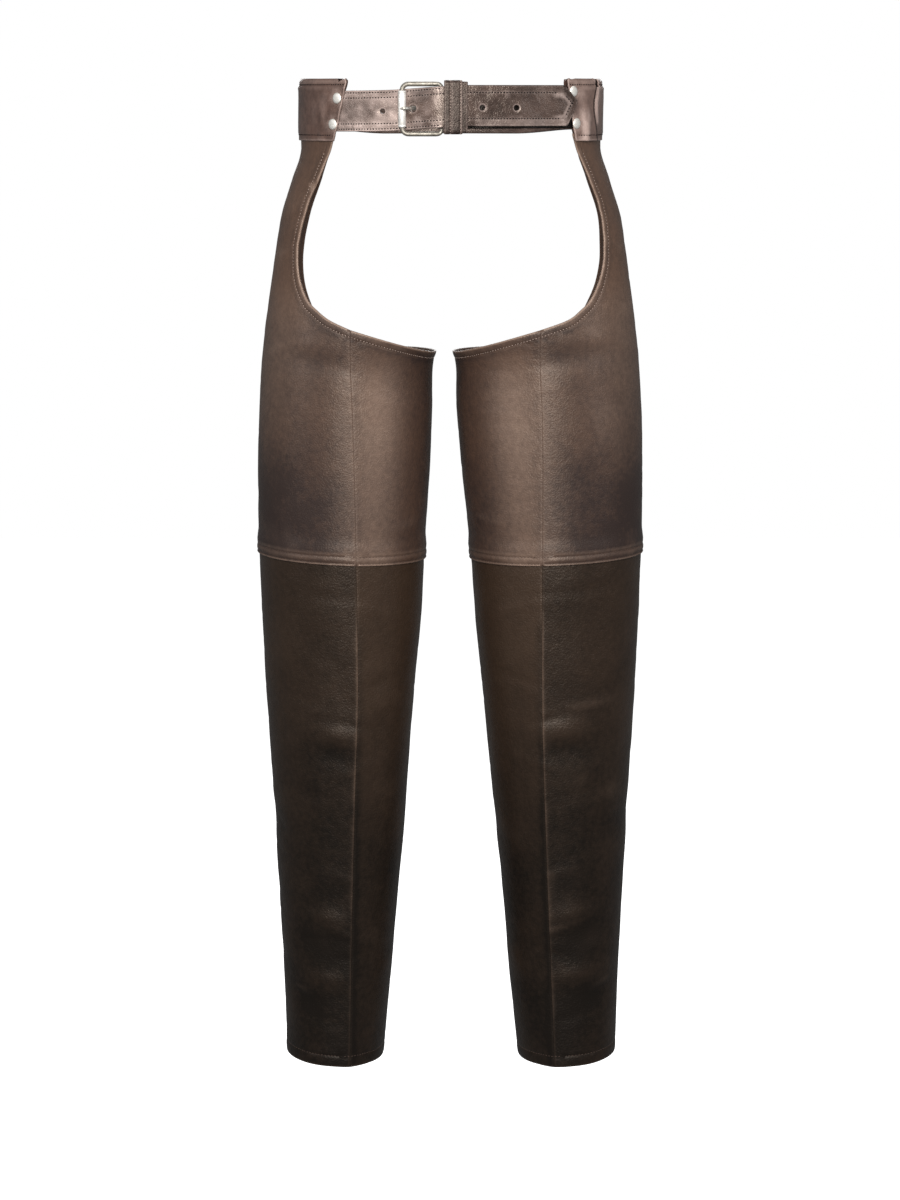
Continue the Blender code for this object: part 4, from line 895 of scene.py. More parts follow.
for side, label in ((-1, "left"), (1, "right")):
    place = lower_place(side)
    for part in ("outer", "inner"):
        is_inner = part == "inner"
        front = seam_line(side, LAP_TOP, HEM, is_inner)
        back = back_line(HEM, LAP_TOP, is_inner)
        panel = Panel([
            ("seam", front), ("hem", np.stack([front[-1], back[0]])), ("seam", back),
            ("cut", np.stack([back[-1], front[0]])),
        ], place)
        relief = leather_relief(panel, side)
        angle, z = np.degrees(panel.flat[:, 0] / FLAT_RADIUS), panel.flat[:, 1]
        under_lap = smooth_step((z - UNDER_LAP_FROM) / 0.008)
        relief = relief * (1.0 - under_lap) - SUNK * under_lap
        front_seam = panel.away("seam") * np.where(np.abs(angle - 90.0) < 50.0, 1.0, 9.0)
        shown = smooth_step((-0.52 - z) / 0.05) * smooth_step((z + 1.0) / 0.03)
        relief += SEAM_FOLD[part] * groove(front_seam, 0.0, 0.0050) * shown
        wall = WALL + 0.0014 * (1.0 - smooth_step((panel.away("hem") - HEM_TURN) / 0.001))
        wall = wall * (0.2 + 0.8 * rounded(panel.away("hem")))
        # Painted shade: tone and wear fall towards the hem, away from the lamps.
        down = smooth_step((-0.55 - z) / 0.30)
        wear = leather_wear(panel, relief) * (1.0 - 0.45 * down)
        if is_inner:
            tone = 0.60 - 0.20 * smooth_step((angle - 150.0) / 60.0) - 0.48 * down
            # Painted shade beside the front seam, where the inner side lies lower.
            tone -= 0.30 * groove(front_seam, 0.0, 0.0060) * smooth_step((-0.52 - z) / 0.03)
        else:
            tone = 0.38 - 0.12 * smooth_step((angle - 35.0) / 50.0) - 0.25 * down
            # Painted highlight along the front seam's raised outer side.
            painted_seam_highlight = 0.34 * groove(front_seam, 0.0008, 0.0009)
            wear += painted_seam_highlight * smooth_step((-0.50 - z) / 0.06) * (1.0 - 0.8 * down)
        tone += painted_crease_shading(side, z, angle)
        piece = shell(f"lower_leg_{part}_{label}_leather", panel, relief, wall, tone, wear, LOWER_LEATHER_DARKER_AND_SHADED)
        finish(piece, "lower_leather", f"lower_leg_{part}_{label}")
        rows = [panel.row(1, HEM_ROW, SUNK, (1, 1))]
        thread = sew(f"lower_leg_{part}_{label}_stitches", rows, BROWN_THREAD, "lower_leather")


# Waist tabs
# A strip of leather folded over the belt on each side, holding the hip strap between its layers. The left tab
# is one piece. The right one has a side piece and a patch lapped on it with a curved back edge.
WAIST_LEFT, WAIST_RIGHT, WAIST_HALF_DEPTH = 0.1508, 0.1523, 0.1100
TAB_PATH = (
    (0.0050, -0.0412), (0.0050, -0.0374), (0.0057, -0.0326), (0.0057, -0.0170), (0.0057, -0.0020),
    (0.0057, 0.0112), (0.0046, 0.0156), (0.0043, 0.0188), (0.0036, 0.0208), (0.0025, 0.0216),
    (0.0014, 0.0208), (0.0008, 0.0184), (0.0007, 0.0120), (0.0007, -0.0090), (0.0007, -0.0326),
    (0.0013, -0.0374), (0.0013, -0.0408),
)
TAB_FOLD_FIRST, TAB_FOLD_LAST = 7, 11
TAB_FRONT_EDGE = (
    (-0.0412, 49.2, 54.4), (-0.0250, 46.8, 52.6), (-0.0030, 44.4, 50.8), (0.0140, 42.6, 49.6),
    (0.0195, 42.5, 49.5), (0.0223, 43.9, 50.8),
)
TAB_INNER_EDGE = (
    (-0.0412, 52.9, 58.2), (-0.0250, 50.0, 56.0), (-0.0030, 46.6, 52.8), (0.0140, 43.2, 50.4),
    (0.0195, 42.7, 49.8), (0.0223, 43.9, 50.8),
)
PATCH_BACK_EDGE = ((-0.0412, 73.6), (-0.0320, 71.4), (-0.0060, 67.6), (0.0120, 69.8), (0.0223, 71.6))
PATCH_INNER_BACK = 71.0
TAB_BACK_EDGE = (
    (-0.0412, 125.5, 121.0), (-0.0250, 128.5, 123.6), (-0.0030, 131.2, 126.0), (0.0140, 133.2, 128.0),
    (0.0223, 133.6, 128.4),
)
SIDE_PIECE_FRONT, SIDE_PIECE_TOP_FRONT, SIDE_PIECE_STEP = 65.5, 75.0, 0.0130
PATCH_RISE_FROM, PATCH_RISE_TO = 57.8, 62.8
RIVETS = (
    (-46.9, 0.0018), (-49.4, -0.0242), (52.3, 0.0085), (54.4, -0.0235),
    (-128.2, -0.0015), (-125.4, -0.0260), (123.4, -0.0015), (120.8, -0.0260),
)
TAB_RADIUS = 0.130  # turns an angle into a width on the flat cut
TAB_TOP_ROW = 0.0153  # height of the stitches under the rolled top
TAB_STEPS = np.hypot(*np.diff(np.array(TAB_PATH), axis=0).T)
TAB_LINE = [(run, lift, z, row) for row, (run, (lift, z))
            in enumerate(zip(np.concatenate([[0.0], np.cumsum(TAB_STEPS)]), TAB_PATH))]
TAB_LENGTH = TAB_LINE[-1][0]
EDGE_STEPS["patch"] = (0.0004, 0.0009, 0.0016, 0.0025, 0.0031, 0.0037, 0.0048)
EDGE_STEPS["fold"] = (0.0004, 0.0010, 0.0018, 0.0026, 0.0034, 0.0046)
EDGE_STEPS["foot"] = (0.0004, 0.0010, 0.0022, 0.0042, 0.0052, 0.0060, 0.0068, 0.0080)
FOOT_STITCH = 0.0060
RIVET_RIM, RIVET_PULL = 0.0050, 0.0045  # from a rivet's middle, and how far beyond its rim it pulls
# What differs between the left tab and the right, by side: height and angle of the ridge that the hip strap's
# edge presses through, how much painted highlight the high places get, and how much lighter the whole tab is
TAB_RIDGES = {-1: (0.00075, 55.5), 1: (0.00120, 60.0)}
TAB_CONTRAST, TAB_LIGHTER = {-1: 0.25, 1: 0.80}, {-1: 0.08, 1: 0.22}


def waist_points(angle, lift, z):
    """Points at an angle from the front of the waist, towards +X, and a lift from the waist line."""
    turn = np.radians(angle)
    half_width = np.where(np.sin(turn) > 0, WAIST_RIGHT, WAIST_LEFT)
    level_out = [np.sin(turn) / half_width, -np.cos(turn) / WAIST_HALF_DEPTH, np.zeros_like(turn)]
    outward = unit(np.stack(level_out, 1))
    line = np.stack([half_width * np.sin(turn), -WAIST_HALF_DEPTH * np.cos(turn), z + np.zeros_like(turn)], 1)
    return line + outward * np.reshape(lift, (-1, 1)), outward


def fold_share(run):
    row = curve_value(TAB_LINE, 3, run)
    return np.clip((row - TAB_FOLD_FIRST) / (TAB_FOLD_LAST - TAB_FOLD_FIRST), 0.0, 1.0)


def tab_place(side, rise_of):
    def place(flat):
        angle, run = np.degrees(flat[:, 0] / TAB_RADIUS), flat[:, 1]
        lift, z = curve_value(TAB_LINE, 1, run), curve_value(TAB_LINE, 2, run)
        small = 0.0003
        run_lift = curve_value(TAB_LINE, 1, run + small) - curve_value(TAB_LINE, 1, run - small)
        run_z = curve_value(TAB_LINE, 2, run + small) - curve_value(TAB_LINE, 2, run - small)
        length = np.hypot(run_lift, run_z)
        out_lift, out_z = run_z / length, -run_lift / length
        lift = lift + rise_of(angle, fold_share(run)) + out_lift * WALL / 2
        points, level_out = waist_points(side * angle, lift, z + out_z * WALL / 2)
        outward = level_out * out_lift[:, None]
        outward[:, 2] = out_z
        return points, outward
    return place


def tab_edges(front_of, back_of, front_kind="fold", back_kind="fold"):
    """The outline of a tab: front edge, end of the back layer, back edge, foot of the front layer."""
    run = np.linspace(0.0, TAB_LENGTH, 120)
    z, share = curve_value(TAB_LINE, 2, run), fold_share(run)
    front = np.stack([np.radians(front_of(z, share)) * TAB_RADIUS, run], 1)
    back = np.stack([np.radians(back_of(z, share)) * TAB_RADIUS, run], 1)
    return [(front_kind, front), ("cut", np.stack([front[-1], back[-1]])), (back_kind, back[::-1]),
            ("foot", np.stack([back[0], front[0]]))]


def tab_front_angle(column):
    def angle_of(z, share):
        front, inner = curve_value(TAB_FRONT_EDGE, column, z), curve_value(TAB_INNER_EDGE, column, z)
        return front * (1 - share) + inner * share
    return angle_of


def rivet_dimples(panel, side):
    """How deep the rivets pull the leather in, at each point of a tab."""
    pull = np.zeros(len(panel.flat))
    for angle, z in RIVETS:
        if angle * side > 0:
            spot = waist_points(np.array([angle]), 0.006, z)[0][0]
            away = np.linalg.norm(panel.points - spot, axis=1)
            pull += np.exp(-(np.maximum(away - RIVET_RIM, 0.0) / RIVET_PULL)**2)
    return pull


def tab_relief(panel, side):
    """Rise of a tab's leather, and 1 on its front layer falling to 0 over the fold."""
    run = panel.flat[:, 1]
    z = curve_value(TAB_LINE, 2, run)
    outside = 1.0 - smooth_step(fold_share(run) / 0.9)
    fold, foot, patch = panel.away("fold"), panel.away("foot"), panel.away("patch")
    angle = np.degrees(panel.flat[:, 0] / TAB_RADIUS)
    rise = 0.00040 * unevenness(panel.points, 0.030) + 0.00020 * unevenness(panel.points + 2.0, 0.012)
    rise *= outside
    rise -= 0.00055 * outside * rivet_dimples(panel, side)
    ridge_height, ridge_at = TAB_RIDGES[side]
    slanting = (angle - ridge_at + 60.0 * (z + 0.01)) / 2.2
    rise += ridge_height * outside * np.exp(-slanting**2) * smooth_step((0.012 - z) / 0.006)
    rise -= 0.0007 * (1.0 - rounded(np.minimum(np.minimum(fold, foot), patch)))
    rise += 0.00035 * np.sin(math.pi * np.clip(fold / 0.0026, 0.0, 1.0)) * outside
    rise -= 0.00045 * groove(fold, 0.0028, 0.0005) * outside
    rise -= 0.00045 * groove(foot, FOOT_STITCH, 0.0006)
    rise -= 0.00050 * groove(z, TAB_TOP_ROW, 0.0008) * outside
    rise += 0.00045 * np.exp(-((z - 0.0125) / 0.0016)**2) * outside
    return rise, outside


def add_tab(name, node, side, edges, rise_of, extra=None):
    panel = Panel(edges, tab_place(side, rise_of), step=0.0026, spacing=0.0036)
    rise, outside = tab_relief(panel, side)
    if extra is not None:
        rise = rise + extra(panel) * outside
    fold, foot = panel.away("fold"), panel.away("foot")
    # The fold and the foot are rubbed lighter, partly a painted highlight.
    wear = 0.40 * groove(fold, 0.0010, 0.0009) + 0.35 * groove(foot, 0.0008, 0.0010)
    wear += 0.35 * rivet_dimples(panel, side) * smooth_step(unevenness(panel.points, 0.006) + 0.7)
    high_places = smooth_step(rise / 0.0008) * smooth_step(unevenness(panel.points + 4.0, 0.012) + 0.7)
    z = curve_value(TAB_LINE, 2, panel.flat[:, 1])
    # Painted shadow along the patch's curved back edge, darkening its tone and taking its wear away.
    patch_edge_shadow = 1.0 - smooth_step((panel.away("patch") - 0.0026) / 0.0010)
    # Painted highlight on the high places and on the rolled top, and each tab made lighter by its own amount.
    wear += TAB_CONTRAST[side] * high_places + 0.35 * groove(z, 0.0192, 0.0016) + TAB_LIGHTER[side]
    if extra is not None:
        # Painted highlight on the swell of the side piece.
        wear += 0.75 * extra(panel) / 0.0020
    wear *= 1.0 - patch_edge_shadow
    tone = 0.42 + 0.16 * unevenness(panel.points + 6.0, 0.03) - 0.5 * (1.0 - rounded(fold)) - 0.9 * patch_edge_shadow
    wall = WALL * (0.25 + 0.75 * rounded(np.minimum(fold, foot)))
    piece = shell(name, panel, rise, wall, tone, np.clip(wear * outside, 0.0, 1.0), TAB_LEATHER)
    finish(piece, "upper_leather", node)
    climbing = TAB_LINE[:TAB_FOLD_FIRST + 2]
    top_run = float(np.interp(TAB_TOP_ROW, [row[2] for row in climbing], [row[0] for row in climbing]))
    front_edge, back_edge = panel.edges[0][1], panel.edges[2][1][::-1]
    ends = [np.interp(top_run, line[:, 1], line[:, 0]) for line in (front_edge, back_edge)]
    row_x = np.linspace(ends[0] + 0.0035, ends[1] - 0.0035, 80)
    rows = [panel.on_leather(np.stack([row_x, np.full_like(row_x, top_run)], 1), 0.0),
            panel.row(3, FOOT_STITCH, 0.0, (2, 2))]
    thread = sew(name.replace("leather", "stitches"), rows, DARK_THREAD, "upper_leather", "tab")


def no_rise(angle, share):
    return np.zeros_like(angle)


def patch_rise(angle, share):
    climb = smooth_step((angle - PATCH_RISE_FROM) / (PATCH_RISE_TO - PATCH_RISE_FROM))
    return LAP_RISE * (1 - share) * climb


def rolled_edge(panel):
    """The side piece swells where it comes out from under the patch."""
    angle = np.degrees(panel.flat[:, 0] / TAB_RADIUS)
    z = curve_value(TAB_LINE, 2, panel.flat[:, 1])
    edge = curve_value(PATCH_BACK_EDGE, 1, z)
    return 0.0020 * np.exp(-((angle - edge - 3.0) / 1.8)**2) * np.exp(-((z + 0.004) / 0.019)**4)


TAB_LEATHER = leather_material("tab_leather", (0.030, 0.017, 0.014), (0.124, 0.064, 0.046),
                               (0.400, 0.298, 0.262), 0.0015, 0.33, 0.5)
add_tab("tab_left_leather", "tab_left", -1,
        tab_edges(tab_front_angle(1), lambda z, share: curve_value(TAB_BACK_EDGE, 1, z)), no_rise)
add_tab("tab_right_front_leather", "tab_right_front", 1,
        tab_edges(tab_front_angle(2), lambda z, share: curve_value(PATCH_BACK_EDGE, 1, z) * (1 - share)
                  + PATCH_INNER_BACK * share, back_kind="patch"), patch_rise)
add_tab("tab_right_side_leather", "tab_right_side", 1,
        tab_edges(lambda z, share: np.where((z < SIDE_PIECE_STEP) & (share == 0), SIDE_PIECE_FRONT,
                                            SIDE_PIECE_TOP_FRONT),
                  lambda z, share: curve_value(TAB_BACK_EDGE, 2, z), front_kind="cut"), no_rise,
        rolled_edge)


# Belt straps
# Heavier leather, waxed and worn to a greyish brown. The tip strap is a face and a lining sewn together, cut
# to a point and punched. The buckle strap is one layer folded round the hinge bar, the back strap is plain.
BELT_LIFT, FACE_PLY, LINING_PLY, TIP_WIDTH = 0.0017, 0.0016, 0.0011, 0.0408
HOLES = (  # middle along the belt and in height, and radius
    ((-0.0676, -0.0111), 0.0025), ((-0.0364, -0.0083), 0.0034), ((0.0311, -0.0074), 0.0025),
    ((0.0650, -0.0077), 0.0025),
)
OUTER_ROW_END = -0.009  # the outer stitch row ends at the keeper
TIP_LIFTS = (
    (-0.150, BELT_LIFT), (-0.060, BELT_LIFT), (-0.0435, 0.0018), (-0.0370, 0.0026), (-0.0290, 0.0052),
    (-0.0185, 0.0084), (-0.0085, 0.0093), (0.000, 0.0092), (0.016, 0.0073), (0.034, 0.0053),
    (0.070, 0.0048), (0.096, 0.0052), (0.108, 0.0074), (0.117, 0.0090), (0.140, 0.0092),
)
TIP_MIDDLES = ((-0.150, -0.0112), (-0.100, -0.0110), (-0.058, -0.0102), (-0.036, -0.0088), (-0.012, -0.0071),
               (0.016, -0.0056), (0.140, -0.0056))
TIP_START, TIP_TOP_CORNER, TIP_POINT, TIP_BOTTOM_CORNER, POINT_RISE = -0.1500, 0.1150, 0.1310, 0.1180, 0.0042
ARC_ANGLES = np.linspace(0.0, 180.0, 721)
ARC_STEPS = np.hypot(WAIST_LEFT * np.cos(np.radians(ARC_ANGLES)),
                     WAIST_HALF_DEPTH * np.sin(np.radians(ARC_ANGLES)))
ARC_LENGTHS = np.concatenate([[0.0], np.cumsum((ARC_STEPS[1:] + ARC_STEPS[:-1]) / 2 * math.radians(0.25))])
OUTER_ROW, INNER_ROW = 0.0023, 0.0075  # stitch rows from the strap's edge
BELT_LEATHER = leather_material("belt_leather", (0.022, 0.015, 0.013), (0.102, 0.068, 0.056),
                                (0.475, 0.372, 0.335), 0.0014, 0.25, 0.75)
# A darker copy of the belt leather, so that the painted shade on the buckle strap under the tip strap goes
# near black.
SHADED_BUCKLE_STRAP_LEATHER = leather_material("buckle_strap_leather", (0.004, 0.003, 0.003), (0.102, 0.068, 0.056),
                                        (0.475, 0.372, 0.335), 0.0014, 0.30, 0.6)


def belt_points(arc, lift, z):
    angle = np.sign(arc) * np.interp(np.abs(arc), ARC_LENGTHS, ARC_ANGLES)
    return waist_points(angle, lift, z)


def tip_place(base):
    def place(flat):
        return belt_points(flat[:, 0], curve_value(TIP_LIFTS, 1, flat[:, 0]) + base, flat[:, 1])
    return place


def tip_outline(past):
    half, blunt = TIP_WIDTH / 2, 0.0012
    arcs = np.linspace(TIP_START, TIP_TOP_CORNER + past, 90)
    top = np.stack([arcs, curve_value(TIP_MIDDLES, 1, arcs) + half], 1)
    arcs = np.linspace(TIP_BOTTOM_CORNER + past, TIP_START, 90)
    bottom = np.stack([arcs, curve_value(TIP_MIDDLES, 1, arcs) - half], 1)
    point = TIP_MIDDLES[-1][1] + POINT_RISE
    nose = np.array([top[-1], (TIP_POINT + past - 0.0006, point + blunt), (TIP_POINT + past, point),
                     (TIP_POINT + past - 0.0006, point - blunt), bottom[0]])
    return [("strap", top), ("strap", nose), ("strap", bottom), ("cut", np.stack([bottom[-1], top[0]]))]


def strap_finish(panel, rows=(), dimpled=True):
    """Relief, tone and wear of a strap: rounded burnished edges, sunk stitch rows, creases, punched holes,
    with painted shade and painted highlights.
    """
    edge, hole, arc = panel.away("strap"), panel.away("hole"), panel.flat[:, 0]
    rise = 0.00036 * unevenness(panel.points, 0.016) + 0.00022 * unevenness(panel.points + 5.0, 0.0065)
    rise -= 0.0007 * (1.0 - rounded(edge * 0.8))
    for distance, share in rows:
        rise -= 0.00010 * groove(edge, distance, 0.00065) * share
        rise += 0.00022 * groove(edge, distance - 0.0016, 0.0009) * share
    if dimpled:
        rise += -0.0008 * np.exp(-(hole / 0.0014)**2) + 0.00020 * groove(hole, 0.0030, 0.0010)
        lines = 1.0 - np.abs(unevenness(panel.points * (1.0, 1.0, 0.6) + 8.0, 0.013))
        rise -= 0.00045 * np.clip(lines - 0.84, 0.0, 1.0) / 0.16
    tone = 0.50 + 0.34 * unevenness(panel.points + 1.0, 0.018) - 0.9 * (1.0 - rounded(edge * 0.7))
    # Painted shade in the punched holes.
    tone -= 1.0 * np.exp(-(hole / 0.0007)**2)
    # The burnished edge line, and a painted highlight on each hole's rim.
    wear = 0.18 * groove(edge, 0.0011, 0.0007) + 0.50 * groove(hole, 0.0011, 0.0006)
    # High places rubbed lighter, partly a painted highlight.
    wear += 0.55 * smooth_step(rise / 0.0004) * smooth_step(unevenness(panel.points + 2.5, 0.010) + 0.5)
    # Painted highlight streaks slanting across the strap.
    slanting = panel.points[:, 0] * 0.62 + panel.points[:, 2]
    across = np.stack([slanting, slanting * 0.0, panel.points[:, 0] * 0.22], 1)
    wear += 0.14 * smooth_step((unevenness(across + 0.7, 0.0045) - 0.30) / 0.5)
    for distance, share in rows:
        wear += 0.20 * groove(edge, distance, 0.0020) * share
    return rise, tone, wear


base = LINING_PLY + GAP + FACE_PLY
face = Panel(tip_outline(0.0), tip_place(base), step=0.0024, spacing=0.0034,
             holes=HOLES)
arc = face.flat[:, 0]
left_part = 1.0 - smooth_step((arc - OUTER_ROW_END) / 0.003)
rise, tone, wear = strap_finish(face, ((OUTER_ROW, left_part), (INNER_ROW, 1.0)))
field = smooth_step((face.away("strap") - INNER_ROW - 0.0004) / 0.0022) * smooth_step((arc - 0.085) / 0.03)
rise += 0.0007 * field
# Painted highlight near the point, inside its stitch row.
wear += 0.5 * groove(face.away("strap"), INNER_ROW + 0.0022, 0.0016) * smooth_step((arc - 0.100) / 0.010)
# Painted highlights: the strap left of the keeper is lighter and glints, darker under the buckle frame as
# painted shade, and lightest beside the roller.
glints = unevenness(face.points * (0.7, 1.0, 1.3) + 4.0, 0.006)
wear += (0.34 + 0.26 * glints) * left_part - 0.24 * groove(arc, -0.026, 0.014) - 0.08
low_edge = smooth_step((-0.0185 - face.flat[:, 1]) / 0.002) * smooth_step((arc - 0.020) / 0.010)
wear += 0.24 * groove(arc, -0.055, 0.010) + 0.26 * low_edge
# The strap left of the keeper is also lighter in tone, part of the same painted highlight.
tone += 0.25 * left_part - 0.02
piece = shell("tip_strap_face_leather", face, rise, FACE_PLY * (0.35 + 0.65 * rounded(face.away("strap"))),
              tone, np.clip(wear, 0.0, 1.0), BELT_LEATHER)
finish(piece, "belt_leather", "tip_strap_face")
top_row, nose_row, bottom_row = (face.row(which, INNER_ROW, -0.0001) for which in (0, 1, 2))
clear = 4
rows = [tuple(part[:-clear] for part in top_row), tuple(part[clear:-clear] for part in nose_row),
        tuple(part[clear:] for part in bottom_row)]
for which in (0, 2):
    points, outward = face.row(which, OUTER_ROW, -0.0001)
    keep = face.edges[which][1][:, 0] < OUTER_ROW_END
    rows.append((points[keep], outward[keep]))
face_thread = sew("tip_strap_stitches", rows, DARK_THREAD, "belt_leather", "belt")

lining = Panel(tip_outline(0.0010), tip_place(LINING_PLY), step=0.0035, spacing=0.0060,
               holes=HOLES)
rise, tone, wear = strap_finish(lining, dimpled=False)
# The lining is darkened, painted shade where it shows through the holes.
piece = shell("tip_strap_lining_leather", lining, np.minimum(rise, 0.0), LINING_PLY, tone - 0.35, wear * 0.3,
              BELT_LEATHER)
finish(piece, "belt_leather", "tip_strap_lining")

# The straps that are bent, by their middle line seen from above
SINGLE_STRAP, SINGLE_WIDTH, SINGLE_MIDDLE = 0.0020, 0.0380, -0.0093
BACK_STRAP, BACK_WIDTH, BACK_MIDDLE, BACK_DROP, BACK_HALF_TURN = 0.0030, 0.0400, -0.0108, 0.0047, 62.0
HINGE_RADIUS, HINGE_ARC, HINGE_LIFT, PRONG_MIDDLE, SLOT_RADIUS = 0.0020, -0.0082, 0.0046, -0.0083, 0.0050
COVERED_TO = 0.012  # the buckle strap shows left of here
EDGE_STEPS["slot"] = (0.0004, 0.0012)


def bent_place(line, thickness, outer_side):
    """Along a middle line seen from above, on the strap's outer face."""
    along, run = lengths_along(line), unit(np.gradient(line, axis=0))
    normal = np.stack([-run[:, 1], run[:, 0]], 1) * outer_side

    def place(flat):
        at = [np.interp(flat[:, 0], along, column) for column in (*line.T, *normal.T)]
        outward = unit(np.stack([at[2], at[3], np.zeros_like(at[2])], 1))
        return np.stack([at[0], at[1], flat[:, 1]], 1) + outward * thickness / 2, outward
    return place, float(along[-1])


def add_bent_strap(name, node, line, thickness, outer_side, ends_of, material, slots=(),
                   covered_to=-1.0):
    """A strap that stands on edge along a line. slots are lengths along it at which the prong goes through,
    and up to covered_to it lies under the tip strap, darkened with painted shade and unworn."""
    place, length = bent_place(line, thickness, outer_side)
    run = np.linspace(0.0, length, 160)
    low, high = ends_of(run / length)
    bottom, top = np.stack([run, low], 1), np.stack([run, high], 1)
    panel = Panel([("strap", bottom), ("cut", np.stack([bottom[-1], top[-1]])), ("strap", top[::-1]),
                   ("cut", np.stack([top[0], bottom[0]]))], place, step=0.0026, spacing=0.0050,
                  holes=[((at, PRONG_MIDDLE), SLOT_RADIUS) for at in slots])
    rise, tone, wear = strap_finish(panel, ((OUTER_ROW, 1.0),), dimpled=False)
    # Painted shade where the strap lies under the tip strap.
    painted_shade_under_tip = 1.0 - smooth_step((panel.flat[:, 0] - covered_to) / 0.006)
    tone, wear = tone - 1.2 * painted_shade_under_tip, wear * (1.0 - painted_shade_under_tip)
    wall = thickness * (0.35 + 0.65 * rounded(panel.away("strap") * 0.8))
    piece = shell(name, panel, rise, wall, tone, np.clip(wear, 0.0, 1.0) * 0.8, material)
    finish(piece, "belt_leather", node)
    thread = sew(name.replace("leather", "stitches"),
                 [panel.row(0, OUTER_ROW, -0.0001, (2, 2)), panel.row(2, OUTER_ROW, -0.0001, (2, 2))],
                 DARK_THREAD, "belt_leather", "strap")


wrap = HINGE_RADIUS + GAP + SINGLE_STRAP / 2
STRAP_LIFTS = ((HINGE_ARC, HINGE_LIFT + wrap), (-0.0030, 0.0077), (0.008, 0.0052), (0.018, 0.0038),
               (0.030, 0.0036), (0.060, 0.0031), (0.150, 0.0031))
main = np.linspace(0.143, -0.0030, 160)
turn = np.radians(np.linspace(0.0, 180.0, 40))
back = np.linspace(-0.002, 0.027, 30)
arcs = np.concatenate([main, HINGE_ARC - wrap * np.sin(turn), back])
lifts = np.concatenate([curve_value(STRAP_LIFTS, 1, main), HINGE_LIFT + wrap * np.cos(turn),
                        np.full_like(back, HINGE_LIFT - wrap)])
line = belt_points(arcs, lifts, 0.0)[0][:, :2]
line = spaced(line, 0.0008)
along, fold_at = lengths_along(line), np.argmin(line[:, 0])
covered_at = np.argmin(np.abs(line[:fold_at, 0] - COVERED_TO))


def single_ends(share):
    return [np.full_like(share, SINGLE_MIDDLE + half * SINGLE_WIDTH) for half in (-0.5, 0.5)]


add_bent_strap("buckle_strap_leather", "buckle_strap", line, SINGLE_STRAP, 1, single_ends,
               SHADED_BUCKLE_STRAP_LEATHER, (float(along[fold_at]),),
               float(along[covered_at]))


def back_ends(share):
    """Lower and upper edge of the back strap, which sags between the tabs."""
    away = np.abs(share - 0.5) * 2 * BACK_HALF_TURN
    middle = BACK_MIDDLE - BACK_DROP * smooth_step((58.0 - away) / 30.0)
    return middle - BACK_WIDTH / 2, middle + BACK_WIDTH / 2


angles = np.linspace(180.0 - BACK_HALF_TURN, 180.0 + BACK_HALF_TURN, 200)
line = waist_points(angles, BELT_LIFT + BACK_STRAP / 2, 0.0)[0][:, :2]
add_bent_strap("back_strap_leather", "back_strap", line, BACK_STRAP, -1, back_ends,
               BELT_LEATHER)


# Keeper
# A loop of two plies round both ends of the belt, the upper ply a little narrower, sewn with two rows.
KEEPER_START, KEEPER_END, KEEPER_PLY_END = -0.0055, 0.0167, 0.0116
KEEPER_TOP, KEEPER_BOTTOM, KEEPER_PLY = 0.0171, -0.0314, 0.0011
KEEPER_FRONT_START, KEEPER_FRONT_END, KEEPER_BACK = 0.0133, 0.0118, 0.0
KEEPER_ROWS, KEEPER_ROUND = (0.0002, 0.0098), 0.0010
KEEPER_LEATHER = leather_material("keeper_leather", (0.014, 0.009, 0.008), (0.060, 0.037, 0.030),
                                  (0.330, 0.245, 0.215), 0.0014, 0.34, 0.7)


def keeper_ring(extra, arc):
    """The loop's section at an arc length, that far outside its inner face."""
    share = (arc - KEEPER_START) / (KEEPER_END - KEEPER_START)
    front = KEEPER_FRONT_START + (KEEPER_FRONT_END - KEEPER_FRONT_START) * share
    corner = KEEPER_ROUND + extra
    lifts, heights = [], []
    for lift, z, start in ((front, KEEPER_TOP, 0), (KEEPER_BACK, KEEPER_TOP, 90),
                           (KEEPER_BACK, KEEPER_BOTTOM, 180), (front, KEEPER_BOTTOM, 270)):
        inward, upward = (1 if start in (90, 180) else -1), (-1 if start in (0, 90) else 1)
        turns = np.radians(start + np.linspace(0.0, 90.0, 8))
        lifts.append(lift + inward * KEEPER_ROUND + corner * np.cos(turns))
        heights.append(z + upward * KEEPER_ROUND + corner * np.sin(turns))
    ring = np.stack([np.concatenate(lifts), np.concatenate(heights)], 1)
    gaps = np.linalg.norm(np.roll(ring, -1, axis=0) - ring, axis=1)
    filled = []
    for point, after, gap in zip(ring, np.roll(ring, -1, axis=0), gaps):
        count = 14 if gap > 0.02 else 4 if gap > 0.004 else 1
        filled += [point + (after - point) * k / count for k in range(count)]
    ring = np.array(filled)
    return belt_points(np.full(len(ring), arc), ring[:, 0], ring[:, 1])[0]


def rings_object(name, rings, closed, material, tone=None, wear=None):
    """A surface through rings of equal count. An open run is capped at both ends."""
    count, total = len(rings[0]), len(rings)
    faces = []
    for row in range(total if closed else total - 1):
        after = (row + 1) % total
        faces += [(row * count + c, row * count + (c + 1) % count, after * count + (c + 1) % count,
                   after * count + c) for c in range(count)]
    if not closed:
        faces += [tuple(reversed(range(count))), tuple(range((total - 1) * count, total * count))]
    points = np.concatenate(rings)
    volume = sum(np.dot(points[f[0]], np.cross(points[f[i]], points[f[i + 1]]))
                 for f in faces for i in range(1, len(f) - 1))
    if volume < 0:
        faces = [face[::-1] for face in faces]
    mesh = bpy.data.meshes.new(name)
    mesh.from_pydata(points.tolist(), [], faces)
    mesh.shade_smooth()
    mesh.set_sharp_from_angle(angle=math.radians(50))
    for key, values in (("tone", tone), ("wear", wear)):
        if values is not None:
            paint(mesh, key, np.repeat(values, count))
    mesh.materials.append(material)
    return add_object(name, mesh)


